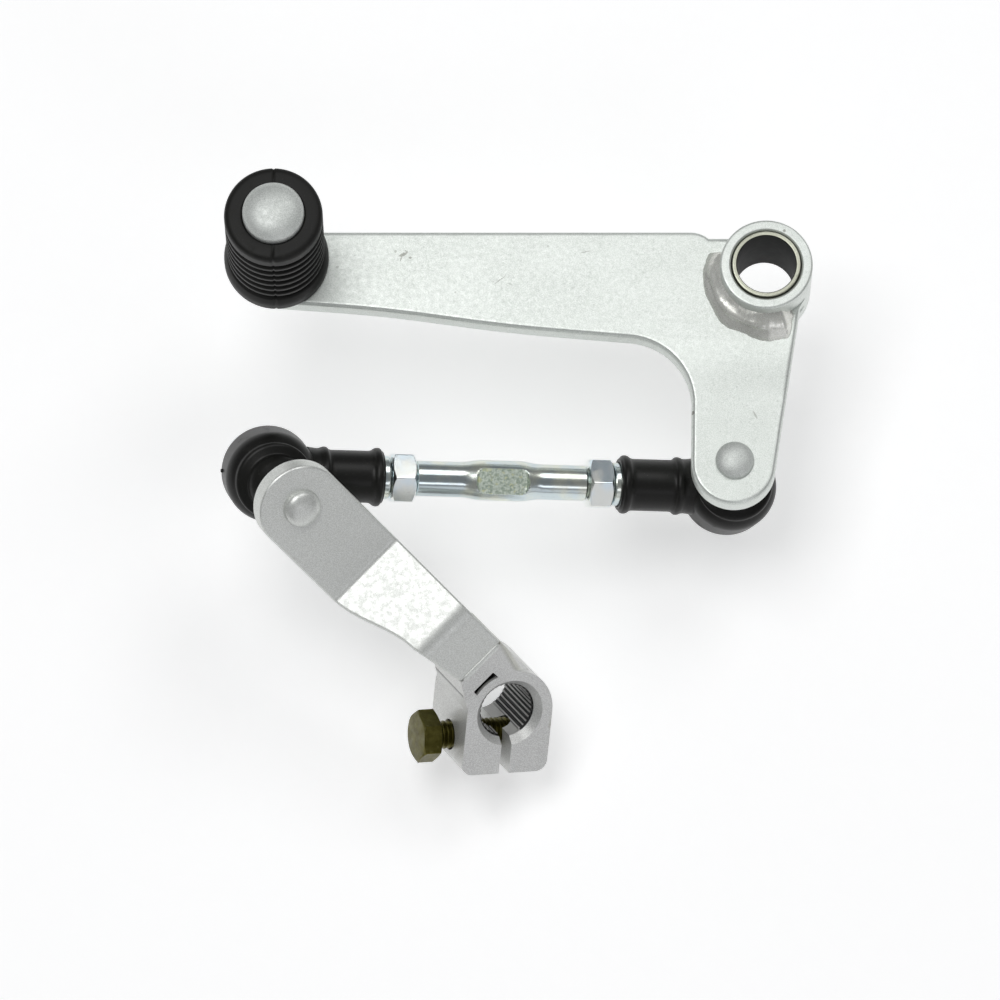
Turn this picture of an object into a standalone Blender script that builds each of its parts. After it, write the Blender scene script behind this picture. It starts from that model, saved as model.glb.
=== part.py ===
"""Motorcycle gear shift lever: a pedal, a tie rod with two ball joints, and a splined shift arm.

Metres, +Z up. The origin is on the pedal's pivot axis, in the inner end face of the pivot bush.
The pedal's flat side faces +Z. The rod and the arm hang on their ball joints as they lie on a bench.
"""

from math import asin, atan2, cos, hypot, pi, radians, sin, sqrt, tan

import bmesh
import bpy
from mathutils import Matrix, Quaternion, Vector

# Clearances and broken edges
GAP = 0.0003
END_PLAY = 0.0002
EDGE_BREAK = 0.0003

# Pivot: a steel bush that the frame's bolt clamps, and the boss that turns on it
BUSH_LENGTH = 0.0194
BUSH_BORE_DIAMETER = 0.0125
BUSH_WALL = 0.00095
BUSH_CHAMFER = 0.0002
BOSS_OUTER_DIAMETER = 0.0196
BOSS_CHAMFER = 0.0004

# Pedal plate
PLATE_THICKNESS = 0.0055
PLATE_EDGE_ROUND = 0.0011
PLATE_BELOW_BOSS_FACE = 0.0070
PEDAL_LENGTH = 0.1033
PEDAL_END_RISE = 0.0032
PEDAL_END_RADIUS = 0.0079
PEDAL_END_CENTRE_DROP = 0.0016
PEDAL_TOP_EDGE = 0.0095
PEDAL_ROOT_EDGE = 0.0139
PEDAL_ROOT_RUN = 0.0300
INNER_CORNER_RADIUS = 0.0143
SHOULDER_RADIUS = 0.0060
TAB_REACH = 0.0409
TAB_SIDE = 0.0070
TAB_ROOT_SIDE = 0.0078
PEDAL_WAIST_RUN = 0.0814
PEDAL_WAIST_EDGE = 0.0079
PEDAL_BELLY_RUN = 0.0540
PEDAL_BELLY_EDGE = 0.0118
TAB_END_RADIUS = 0.0089
TAB_JOGGLE = 0.0006
TAB_JOGGLE_START = 0.0140
TAB_JOGGLE_LENGTH = 0.0130
TAB_TWIST_DEG = 2.3
TAB_END_BEYOND_STUD = 0.0006

# Weld beads on both sides of the plate, round the boss
WELD_FRONT_FOOT = 0.0046
WELD_FRONT_HEIGHT = 0.0042
WELD_BACK_FOOT = 0.0032
WELD_BACK_HEIGHT = 0.0030
WELD_BULGE = 0.09
WELD_NARROW_SHARE = 0.65
WELD_WIDE_SHARE = 1.14
WELD_TAPER_SHARE = 0.11
WELD_END_SHARE = 0.16
WELD_START_DEG = 150.0
WELD_END_DEG = 303.0

# Toe peg: a steel pin, riveted into the plate, in a ribbed rubber
TOE_PIN_DIAMETER = 0.0129
TOE_DOME_HEIGHT = 0.0028
TOE_PIN_PROUD = 0.0009
TOE_SHANK_DIAMETER = 0.0080
TOE_TAIL_DIAMETER = 0.0120
TOE_TAIL_HEIGHT = 0.0016
TOE_RUBBER_DIAMETER = 0.0206
TOE_RUBBER_LENGTH = 0.0315
TOE_FLANGE_DIAMETER = 0.0221
TOE_FLANGE_HEIGHT = 0.0048
TOE_FLANGE_TAPER = 0.0019
TOE_RIM_HEIGHT = 0.0040
TOE_RIM_ROUND = 0.0015
TOE_RIB_COUNT = 6
TOE_RIB_SHARE = 0.40
TOE_GROOVE_DEPTH = 0.0014
TOE_GROOVE_DRAFT = 0.0002

# Ball joints, the same at both ends of the rod
BALL_DIAMETER = 0.0100
BALL_FLAT = 0.0007
STUD_NECK_DIAMETER = 0.0052
STUD_COLLAR_DIAMETER = 0.0080
STUD_COLLAR_HEIGHT = 0.0040
STUD_SHANK_DIAMETER = 0.0062
STUD_HEAD_DIAMETER = 0.0081
STUD_HEAD_HEIGHT = 0.0020
STUD_REACH = 0.0149
SEAT_WALL = 0.0009
SEAT_TOP_SHARE = 0.62
SEAT_BOTTOM_SHARE = 0.58
EYE_DIAMETER = 0.0158
EYE_TOP = 0.0050
EYE_EDGE = 0.0005
EYE_LOW_EDGE = 0.0006
EYE_MOUTH_RADIUS = 0.0054
EYE_MOUTH_SLOPE = 0.7
CAP_THICKNESS = 0.0006
CAP_RIM = 0.0005
SHANK_DIAMETER = 0.0092
SHANK_LENGTH = 0.0254
SHANK_ROOT_WALL = 0.0007
SHANK_THREAD_DEPTH = 0.0125

# Rubber boots over the eyes and shanks
BOOT_WALL = 0.0015
BOOT_FOLD_WALL = 0.0007
BOOT_FOLD_HEIGHT = 0.0016
BOOT_FOLD_ROUND = 0.0004
BOOT_SHOULDER_ROUND = 0.0046
BOOT_SHOULDER_DEG = 45.0
BOOT_SLEEVE_WALL = 0.0007
BOOT_FLOOR_WALL = 0.0007
BOOT_FLOOR_ROUND = 0.0040
BOOT_SLEEVE_END = 0.0240
BOOT_BEAD_RADIUS = 0.0006
BOOT_INNER_BEAD = 0.0115
BOOT_FIRST_FOLD_RADIUS = 0.0082
BOOT_SECOND_FOLD_RADIUS = 0.0064
BOOT_LIP_WALL = 0.0007
BOOT_LIP_HEIGHT = 0.0022
BOOT_LIP_FLARE = 0.0003
RING_WIRE_DIAMETER = 0.0008

# Tie rod and its lock nuts
ROD_CENTRES = 0.0988
ROD_DIAMETER = 0.0075
ROD_THREAD_DIAMETER = 0.0060
ROD_SWELL_DIAMETER = 0.0086
ROD_SWELL_LENGTH = 0.0150
ROD_EDGE = 0.0004
ROD_FLATS_ACROSS = 0.0068
ROD_FLATS_LENGTH = 0.0103
ROD_THREAD_ENGAGED = 0.0105
ROD_FLATS_TURN_DEG = -12.0
NUT_ACROSS_FLATS = 0.0100
NUT_THICKNESS = 0.0050
NUT_CHAMFER = 0.0006
NUT_FACE_INSET = 0.0001
NUT_TURN_DEG = 52.7
FAR_NUT_TURN_DEG = 10.0

# Shift arm: a strap folded twice, and a splined hub with a clamp bolt
ARM_CENTRES = 0.0632
STRAP_THICKNESS = 0.0045
STRAP_WIDTH = 0.0186
STRAP_NARROW_WIDTH = 0.0140
STRAP_END_WIDTH = 0.0118
STRAP_EDGE_ROUND = 0.0005
STRAP_END_FLAT = 0.0092
STRAP_FOLD_RISE = 0.0139
STRAP_FOLD_DEG = 40.5
STRAP_FOLD_RADIUS = 0.0020
HUB_ABOVE_STRAP = 0.0002
HUB_LENGTH = 0.0186
HUB_RING_DIAMETER = 0.0194
HUB_WEB_REACH = 0.0138
HUB_WEB_DEPTH = 0.0170
HUB_WEB_CORNER = 0.0027
HUB_WEB_SHOULDER = 0.0048
HUB_EAR_REACH = 0.0138
HUB_SLIT_WIDTH = 0.0023
HUB_SLIT_TURN_DEG = -46.5
HUB_MOUTH_DIAMETER = 0.0148
HUB_EDGE_ROUND = 0.0005
HUB_CORNER_ROUND = 0.0025
SPLINE_TEETH = 34
SPLINE_ROOT_DIAMETER = 0.0120
SPLINE_TIP_DIAMETER = 0.0112
HUB_SLOPE_TURN_DEG = 12.0
HUB_SLOPE_FALL_DEG = 42.0
HUB_SLOPE_INSET = 0.0001
WEB_SLOT_LENGTH = 0.0060
WEB_SLOT_WIDTH = 0.0010
WEB_SLOT_DEPTH = 0.0040
WEB_SLOT_WALL = 0.0017
WEB_SLOT_SHIFT = 0.0008
ARM_WELD_LEG = 0.0022
ARM_WELD_INSET = 0.0008

# Clamp bolt, partly unscrewed
BOLT_DIAMETER = 0.0060
BOLT_LENGTH = 0.0200
BOLT_HEAD_ACROSS_FLATS = 0.0100
BOLT_HEAD_HEIGHT = 0.0041
BOLT_HEAD_CHAMFER = 0.0005
BOLT_FACE_INSET = 0.0002
BOLT_END_CHAMFER = 0.0007
BOLT_UNSCREWED = 0.0034
BOLT_OFFSET = 0.0078
BOLT_DEPTH_SHARE = 0.46
BOLT_TURN_DEG = 12.0
BOLT_FAR_WALL = 0.0009

# How the pieces lie: turns of the rod and the arm on their ball joints
ROD_SWING_DEG = 181.4
ROD_RISE_DEG = 8.6
ROD_ROLL_DEG = 6.8
FAR_EYE_TWIST_DEG = 22.0
ARM_ROLL_DEG = 30.8
ARM_PITCH_DEG = 12.3
ARM_SWING_DEG = 136.5

# Worked out from the values above
BUSH_OUTER_RADIUS = BUSH_BORE_DIAMETER / 2 + BUSH_WALL
BOSS_BORE_RADIUS = BUSH_OUTER_RADIUS + GAP
BOSS_RADIUS = BOSS_OUTER_DIAMETER / 2
BOSS_TOP = BUSH_LENGTH - END_PLAY
PLATE_TOP = BOSS_TOP - PLATE_BELOW_BOSS_FACE
PLATE_BOTTOM = PLATE_TOP - PLATE_THICKNESS
TAB_TOP = PLATE_TOP - TAB_JOGGLE
BALL_RADIUS = BALL_DIAMETER / 2
SEAT_INNER_RADIUS = BALL_RADIUS + GAP
SEAT_OUTER_RADIUS = SEAT_INNER_RADIUS + SEAT_WALL
CAVITY_RADIUS = SEAT_OUTER_RADIUS + GAP
EYE_RADIUS = EYE_DIAMETER / 2
CAP_TOP = -(BALL_RADIUS + GAP)
CAP_BOTTOM = CAP_TOP - CAP_THICKNESS
EYE_BOTTOM = CAP_BOTTOM
THREAD_HOLE_RADIUS = ROD_THREAD_DIAMETER / 2 + GAP
NUT_START = SHANK_LENGTH + GAP
NUT_END = NUT_START + NUT_THICKNESS
ROD_SHOULDER = NUT_END + GAP
STRAP_TOP = STUD_REACH + STRAP_THICKNESS
LOW_STRAP_TOP = STRAP_TOP + STRAP_FOLD_RISE
HUB_FACE = LOW_STRAP_TOP + HUB_ABOVE_STRAP
HUB_RADIUS = HUB_RING_DIAMETER / 2
TAB_BOTTOM = TAB_TOP - PLATE_THICKNESS

ROUND_STEPS = 32
SMALL_STEPS = 20
INNER_STEPS = 16
RUBBER_STEPS = 24
CUT_MARGIN = 0.002

FINISHES = {
    "silver_paint": ((0.70, 0.73, 0.70), 0.42, 0.55),
    "bush_steel": ((0.36, 0.37, 0.30), 0.40, 0.80),
    "black_rubber": ((0.020, 0.020, 0.018), 0.62, 0.0),
    "zinc_plate": ((0.62, 0.66, 0.66), 0.28, 1.0),
    "bolt_steel": ((0.20, 0.19, 0.10), 0.42, 0.85),
    "seat_plastic": ((0.80, 0.78, 0.70), 0.50, 0.0),
}


def clear_scene():
    for thing in list(bpy.data.objects):
        bpy.data.objects.remove(thing)


def finish(name):
    """The Principled material of a finish, made once."""
    material = bpy.data.materials.get(name)
    if material is None:
        colour, roughness, metallic = FINISHES[name]
        material = bpy.data.materials.new(name)
        material.use_nodes = True
        shader = material.node_tree.nodes["Principled BSDF"]
        shader.inputs["Base Color"].default_value = (*colour, 1.0)
        shader.inputs["Roughness"].default_value = roughness
        shader.inputs["Metallic"].default_value = metallic
    return material


def add_object(name, bm, finish_name=None, smooth_deg=35.0):
    """Makes an object of a bmesh, with outward normals and smooth round sides."""
    bmesh.ops.remove_doubles(bm, verts=bm.verts, dist=1e-7)
    bmesh.ops.recalc_face_normals(bm, faces=bm.faces)
    mesh = bpy.data.meshes.new(name)
    bm.to_mesh(mesh)
    bm.free()
    mesh.shade_smooth()
    mesh.set_sharp_from_angle(angle=radians(smooth_deg))
    thing = bpy.data.objects.new(name, mesh)
    bpy.context.scene.collection.objects.link(thing)
    if finish_name:
        mesh.materials.append(finish(finish_name))
    return thing


def add_guide(name, bm):
    """A cutting or joining shape, which isn't a piece of the part."""
    guide = add_object(name, bm)
    guide.hide_render = True
    guide.display_type = "WIRE"
    return guide


def add_frame(name, parent, matrix):
    """An empty on a joint's axis, which the pieces that turn there hang on."""
    frame = bpy.data.objects.new(name, None)
    frame.empty_display_size = 0.005
    bpy.context.scene.collection.objects.link(frame)
    frame.parent = parent
    frame.matrix_local = matrix
    return frame


def place(thing, parent, matrix=None):
    thing.parent = parent
    if matrix is not None:
        thing.matrix_local = matrix
    return thing


def boolean(thing, other, operation):
    other.parent = thing
    modifier = thing.modifiers.new(operation.lower(), "BOOLEAN")
    modifier.operation = operation
    modifier.object = other
    modifier.solver = "EXACT"


def turned(profile, steps=ROUND_STEPS, start=0.0, sweep=2 * pi):
    """Turns a closed profile of (radius, height) points about the Z axis."""
    bm = bmesh.new()
    verts = [bm.verts.new((r, 0.0, z)) for r, z in profile]
    on_axis = profile[0][0] == 0 and profile[-1][0] == 0
    following = verts[1:] if on_axis else verts[1:] + verts[:1]
    edges = [bm.edges.new(pair) for pair in zip(verts, following)]
    whole = sweep > 2 * pi - 1e-6
    bmesh.ops.rotate(bm, verts=verts, cent=(0, 0, 0), matrix=Matrix.Rotation(start, 3, "Z"))
    if not whole:
        bm.faces.new(verts)
    geometry = verts + edges
    made = bmesh.ops.spin(bm, geom=geometry, cent=(0, 0, 0), axis=(0, 0, 1), angle=sweep,
                          steps=steps, use_merge=whole)
    if not whole:
        last = [v for v in made["geom_last"] if isinstance(v, bmesh.types.BMVert)]
        turn = Matrix.Rotation(start + sweep, 3, "Z")
        ordered = [min(last, key=lambda v: (v.co - turn @ Vector((r, 0.0, z))).length)
                   for r, z in profile]
        bm.faces.new(ordered)
    bmesh.ops.remove_doubles(bm, verts=bm.verts, dist=1e-7)
    return bm


def arc(centre, radius, start_deg, end_deg, steps):
    """Points along an arc, both ends included."""
    points = []
    for i in range(steps + 1):
        angle = radians(start_deg + (end_deg - start_deg) * i / steps)
        points.append((centre[0] + radius * cos(angle), centre[1] + radius * sin(angle)))
    return points


def extruded(outline, low, high):
    """A flat outline made solid between two heights."""
    bm = bmesh.new()
    face = bm.faces.new([bm.verts.new((x, y, low)) for x, y in outline])
    made = bmesh.ops.extrude_face_region(bm, geom=[face])
    lifted = [v for v in made["geom"] if isinstance(v, bmesh.types.BMVert)]
    bmesh.ops.translate(bm, verts=lifted, vec=(0, 0, high - low))
    return bm


def rod_of(radius, low, high, steps=SMALL_STEPS):
    return turned([(0, low), (radius, low), (radius, high), (0, high)], steps)


def box_of(low, high):
    outline = [(low[0], low[1]), (high[0], low[1]), (high[0], high[1]), (low[0], high[1])]
    return extruded(outline, low[2], high[2])


def dome(base_radius, base, height, steps=4):
    """Profile points of a round cap, from its rim to its top."""
    cap_radius = (base_radius ** 2 + height ** 2) / (2 * height)
    half = asin(base_radius / cap_radius)
    centre = base + height - cap_radius
    return [(cap_radius * sin(half * (1 - i / steps)), centre + cap_radius * cos(half * (1 - i / steps)))
            for i in range(steps + 1)]


def smooth_step(value):
    t = min(1.0, max(0.0, value))
    return t * t * (3 - 2 * t)


def latitude(height, radius):
    """The angle in degrees at which a circle about the origin reaches a height."""
    return (180 / pi) * asin(height / radius)


def fillet(steps=4):
    """The outer face of a weld, as shares of its foot and of its height. It bulges a little."""
    shares = []
    for i in range(steps + 1):
        t = i / steps
        swell = WELD_BULGE * sin(pi * t)
        shares.append((1 - t + swell, t + swell))
    return shares


def cut_across(bm, places, direction):
    """Adds edges where planes square to a direction cross the solid."""
    for place_along in places:
        geometry = bm.verts[:] + bm.edges[:] + bm.faces[:]
        point = Vector(direction) * place_along
        bmesh.ops.bisect_plane(bm, geom=geometry, plane_co=point, plane_no=direction)


def keep_below(bm, point, direction):
    """Cuts away what lies on the far side of a plane, and closes the cut."""
    geometry = bm.verts[:] + bm.edges[:] + bm.faces[:]
    cut = bmesh.ops.bisect_plane(bm, geom=geometry, plane_co=point, plane_no=direction, clear_outer=True)
    rim = [item for item in cut["geom_cut"] if isinstance(item, bmesh.types.BMEdge)]
    bmesh.ops.contextual_create(bm, geom=rim)
    bmesh.ops.recalc_face_normals(bm, faces=bm.faces)


def make_bush():
    inner = BUSH_BORE_DIAMETER / 2
    c = BUSH_CHAMFER
    outer = BUSH_OUTER_RADIUS
    profile = [(inner, c), (inner + c, 0), (outer - c, 0), (outer, c),
               (outer, BUSH_LENGTH - c), (outer - c, BUSH_LENGTH), (inner + c, BUSH_LENGTH),
               (inner, BUSH_LENGTH - c)]
    return add_object("pivot_bush", turned(profile, ROUND_STEPS), "bush_steel")


def make_boss(pedal):
    c = BOSS_CHAMFER
    inner = BOSS_BORE_RADIUS
    profile = [(inner, END_PLAY + c), (inner + c, END_PLAY), (BOSS_RADIUS - c, END_PLAY),
               (BOSS_RADIUS, END_PLAY + c), (BOSS_RADIUS, BOSS_TOP - c), (BOSS_RADIUS - c, BOSS_TOP),
               (inner + c, BOSS_TOP), (inner, BOSS_TOP - c)]
    place(add_object("pivot_boss", turned(profile, ROUND_STEPS), "silver_paint"), pedal)


def pedal_outline():
    """The pedal's outline, from the boss, along its top edge to the toe and back by the tab."""
    toe = (-PEDAL_LENGTH, PEDAL_END_CENTRE_DROP)
    shoulder = (-BOSS_RADIUS - SHOULDER_RADIUS, PEDAL_TOP_EDGE - SHOULDER_RADIUS)
    inner = (-PEDAL_ROOT_RUN, -PEDAL_ROOT_EDGE - INNER_CORNER_RADIUS)
    tab = (-TAB_SIDE, -TAB_REACH - TAB_END_BEYOND_STUD)
    points = [(TAB_ROOT_SIDE, -END_PLAY), (0.0, 0.0), (0.0, shoulder[1] + SHOULDER_RADIUS * sin(radians(50)))]
    points += arc(shoulder, SHOULDER_RADIUS, 50, 90, 5)
    points += arc(toe, PEDAL_END_RADIUS, 90, 263, 14)
    points += [(-PEDAL_WAIST_RUN, -PEDAL_WAIST_EDGE), (-PEDAL_BELLY_RUN, -PEDAL_BELLY_EDGE)]
    points += arc(inner, INNER_CORNER_RADIUS, 85, 2, 9)
    points += arc(tab, TAB_END_RADIUS, 180, 351, 14)
    return points


def joggled(bm):
    """Sinks and twists the tab's end a little, with a smooth step across the plate."""
    stations = 6
    places = [-TAB_JOGGLE_START - TAB_JOGGLE_LENGTH * i / stations for i in range(stations + 1)]
    cut_across(bm, places, (0, 1, 0))
    for vert in bm.verts:
        run = (-vert.co.y - TAB_JOGGLE_START) / TAB_JOGGLE_LENGTH
        across = vert.co.x + TAB_SIDE
        vert.co.z -= (TAB_JOGGLE + tan(radians(TAB_TWIST_DEG)) * across) * smooth_step(run)
    return bm


def rounded(bm, width, segments, angle_deg=50.0):
    """Rounds a solid's sharp edges."""
    bmesh.ops.recalc_face_normals(bm, faces=bm.faces)
    sharp = [e for e in bm.edges if e.calc_face_angle(0.0) > radians(angle_deg)]
    bmesh.ops.bevel(bm, geom=sharp, offset=width, offset_type="OFFSET", segments=segments,
                    profile=0.5, affect="EDGES", material=-1)
    return bm


def stud_seat():
    """From a frame in the tab's back face, square to it, to the pedal's."""
    foot = Matrix.Translation((-TAB_SIDE, -TAB_REACH, TAB_BOTTOM))
    return foot @ Matrix.Rotation(radians(TAB_TWIST_DEG), 4, "Y")


def make_plate(pedal):
    bm = rounded(extruded(pedal_outline(), PLATE_BOTTOM, PLATE_TOP), PLATE_EDGE_ROUND, 2)
    plate = add_object("pedal_plate", joggled(bm), "silver_paint", 13.0)
    place(plate, pedal)
    low = PLATE_BOTTOM - TAB_JOGGLE - CUT_MARGIN
    high = PLATE_TOP + CUT_MARGIN
    boolean(plate, add_guide("cut_boss", rod_of(BOSS_RADIUS + GAP, low, high, ROUND_STEPS)),
            "DIFFERENCE")
    stud = rod_of(STUD_SHANK_DIAMETER / 2 + GAP, low, high)
    bmesh.ops.translate(stud, verts=stud.verts, vec=(0, 0, -TAB_BOTTOM))
    bmesh.ops.transform(stud, verts=stud.verts, matrix=stud_seat())
    boolean(plate, add_guide("cut_stud", stud), "DIFFERENCE")
    pin = rod_of(TOE_SHANK_DIAMETER / 2 + GAP, low, high)
    bmesh.ops.translate(pin, verts=pin.verts, vec=(-PEDAL_LENGTH, PEDAL_END_RISE, 0))
    boolean(plate, add_guide("cut_pin", pin), "DIFFERENCE")


def bead(foot, height, level, up):
    """A weld fillet round the boss: it is swept part of the way, and tapers at both ends."""
    inner = BOSS_RADIUS + GAP
    base = level + up * GAP
    start, end = radians(WELD_START_DEG), radians(WELD_END_DEG)
    profile = [(inner, base)]
    profile += [(inner + foot * out, base + up * height * rise) for out, rise in fillet()]
    bm = turned(profile, 18, start, end - start)
    for vert in bm.verts:
        angle = atan2(vert.co.y, vert.co.x) % (2 * pi)
        share = (angle - start) / (end - start)
        from_end = min(share, 1 - share)
        thin = WELD_END_SHARE + (1 - WELD_END_SHARE) * smooth_step(from_end / WELD_TAPER_SHARE)
        width = WELD_NARROW_SHARE + (WELD_WIDE_SHARE - WELD_NARROW_SHARE) * share
        radius = hypot(vert.co.x, vert.co.y)
        kept = inner + (radius - inner) * thin * width
        vert.co.x *= kept / radius
        vert.co.y *= kept / radius
        vert.co.z = base + (vert.co.z - base) * thin
    return bm


def make_welds(pedal):
    front = bead(WELD_FRONT_FOOT, WELD_FRONT_HEIGHT, PLATE_TOP, 1)
    place(add_object("pivot_weld_front", front, "silver_paint", 60.0), pedal)
    back = bead(WELD_BACK_FOOT, WELD_BACK_HEIGHT, PLATE_BOTTOM, -1)
    place(add_object("pivot_weld_back", back, "silver_paint", 60.0), pedal)


def make_toe_peg(pedal):
    centre = Matrix.Translation((-PEDAL_LENGTH, PEDAL_END_RISE, 0))
    seat = PLATE_TOP + GAP
    top = seat + TOE_RUBBER_LENGTH
    radius = TOE_PIN_DIAMETER / 2
    shank = TOE_SHANK_DIAMETER / 2
    tail = TOE_TAIL_DIAMETER / 2
    tail_top = PLATE_BOTTOM - GAP
    tail_low = tail_top - TOE_TAIL_HEIGHT
    profile = [(0, tail_low), (tail - TOE_TAIL_HEIGHT, tail_low), (tail, tail_top - EDGE_BREAK),
               (tail, tail_top), (shank, tail_top), (shank, seat), (radius, seat)]
    profile += dome(radius, top + TOE_PIN_PROUD, TOE_DOME_HEIGHT)
    place(add_object("toe_pin", turned(profile, RUBBER_STEPS), "silver_paint"), pedal, centre)

    bore = radius + GAP
    outer = TOE_RUBBER_DIAMETER / 2
    flange = TOE_FLANGE_DIAMETER / 2
    profile = [(bore, seat), (flange - EDGE_BREAK, seat), (flange, seat + EDGE_BREAK),
               (flange, seat + TOE_FLANGE_HEIGHT - TOE_FLANGE_TAPER), (outer, seat + TOE_FLANGE_HEIGHT)]
    ribs = top - TOE_RIM_HEIGHT - (seat + TOE_FLANGE_HEIGHT)
    pitch = ribs / (TOE_RIB_COUNT + 1 - TOE_RIB_SHARE)
    groove = pitch * (1 - TOE_RIB_SHARE)
    floor = outer - TOE_GROOVE_DEPTH
    height = seat + TOE_FLANGE_HEIGHT
    for i in range(TOE_RIB_COUNT + 1):
        profile += [(floor, height + TOE_GROOVE_DRAFT), (floor, height + groove - TOE_GROOVE_DRAFT)]
        if i < TOE_RIB_COUNT:
            profile += [(outer, height + groove), (outer, height + pitch)]
        height += pitch
    rim = top - TOE_RIM_HEIGHT
    profile += [(outer, rim)]
    profile += arc((outer - TOE_RIM_ROUND, top - TOE_RIM_ROUND), TOE_RIM_ROUND, 0, 90, 3)
    profile += [(bore + EDGE_BREAK, top), (bore, top - EDGE_BREAK)]
    place(add_object("toe_rubber", turned(profile, RUBBER_STEPS), "black_rubber"), pedal, centre)


def make_stud(name, parent, matrix, plate_thickness):
    """A ball stud: its ball at the origin, its shank along +Z through the plate, riveted over."""
    r = BALL_RADIUS
    neck = STUD_NECK_DIAMETER / 2
    collar = STUD_COLLAR_DIAMETER / 2
    shank = STUD_SHANK_DIAMETER / 2
    head = STUD_HEAD_DIAMETER / 2
    collar_top = STUD_REACH - GAP
    collar_low = collar_top - STUD_COLLAR_HEIGHT
    head_low = STUD_REACH + plate_thickness + GAP
    profile = [(0, BALL_FLAT - r)]
    profile += arc((0, 0), r, latitude(BALL_FLAT - r, r), 90 - latitude(neck, r), 8)
    profile += [(neck, collar_low - (collar - neck)), (collar, collar_low), (collar, collar_top),
                (shank, collar_top), (shank, head_low), (head - EDGE_BREAK, head_low)]
    profile += dome(head, head_low + EDGE_BREAK, STUD_HEAD_HEIGHT - EDGE_BREAK)
    place(add_object(name, turned(profile, SMALL_STEPS), "silver_paint"), parent, matrix)


def make_seat(name, parent, matrix):
    """The ball's plastic seat: a spherical shell, open towards the stud and below."""
    top = SEAT_INNER_RADIUS * SEAT_TOP_SHARE
    bottom = -SEAT_INNER_RADIUS * SEAT_BOTTOM_SHARE
    profile = []
    for radius, ends in ((SEAT_OUTER_RADIUS, (bottom, top)), (SEAT_INNER_RADIUS, (top, bottom))):
        profile += arc((0, 0), radius, latitude(ends[0], radius), latitude(ends[1], radius), 5)
    place(add_object(name, turned(profile, INNER_STEPS), "seat_plastic"), parent, matrix)


def make_housing(name, parent, matrix):
    """A ball joint housing: an eye about Z, and a shank along +X with a threaded hole."""
    mouth_height = sqrt(CAVITY_RADIUS ** 2 - EYE_MOUTH_RADIUS ** 2)
    mouth_top = EYE_MOUTH_RADIUS + (EYE_TOP - mouth_height) * EYE_MOUTH_SLOPE
    mouth_deg = latitude(mouth_height, CAVITY_RADIUS)
    cap_seat = CAVITY_RADIUS + CAP_RIM + GAP
    edge = EYE_EDGE
    low = EYE_LOW_EDGE
    profile = [(cap_seat, EYE_BOTTOM), (EYE_RADIUS - low, EYE_BOTTOM), (EYE_RADIUS, EYE_BOTTOM + low),
               (EYE_RADIUS, EYE_TOP - edge), (EYE_RADIUS - edge, EYE_TOP), (mouth_top, EYE_TOP)]
    profile += arc((0, 0), CAVITY_RADIUS, mouth_deg, 0, 4)
    profile += [(CAVITY_RADIUS, CAP_TOP + GAP), (cap_seat, CAP_TOP + GAP)]
    housing = place(add_object(name, turned(profile, RUBBER_STEPS), "zinc_plate"), parent, matrix)
    shank = SHANK_DIAMETER / 2
    hole = THREAD_HOLE_RADIUS
    start = CAVITY_RADIUS + SHANK_ROOT_WALL
    depth = SHANK_LENGTH - SHANK_THREAD_DEPTH
    profile = [(0, start), (shank, start), (shank, SHANK_LENGTH - edge), (shank - edge, SHANK_LENGTH),
               (hole, SHANK_LENGTH), (hole, depth), (0, depth - hole * tan(radians(30)))]
    bm = turned(profile, INNER_STEPS)
    bmesh.ops.rotate(bm, verts=bm.verts, cent=(0, 0, 0), matrix=Matrix.Rotation(pi / 2, 3, "Y"))
    boolean(housing, add_guide(name + "_shank", bm), "UNION")


def make_cap(name, parent, matrix):
    """The steel disc that closes the eye's back."""
    rim = CAVITY_RADIUS + CAP_RIM
    profile = [(0, CAP_BOTTOM), (rim - EDGE_BREAK, CAP_BOTTOM), (rim, CAP_BOTTOM + EDGE_BREAK),
               (rim, CAP_TOP), (0, CAP_TOP)]
    place(add_object(name, turned(profile, INNER_STEPS), "zinc_plate"), parent, matrix)


def lip_level():
    """The height of the boot's lip on the stud, above the ball's centre."""
    return STUD_REACH - GAP - STUD_COLLAR_HEIGHT


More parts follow.
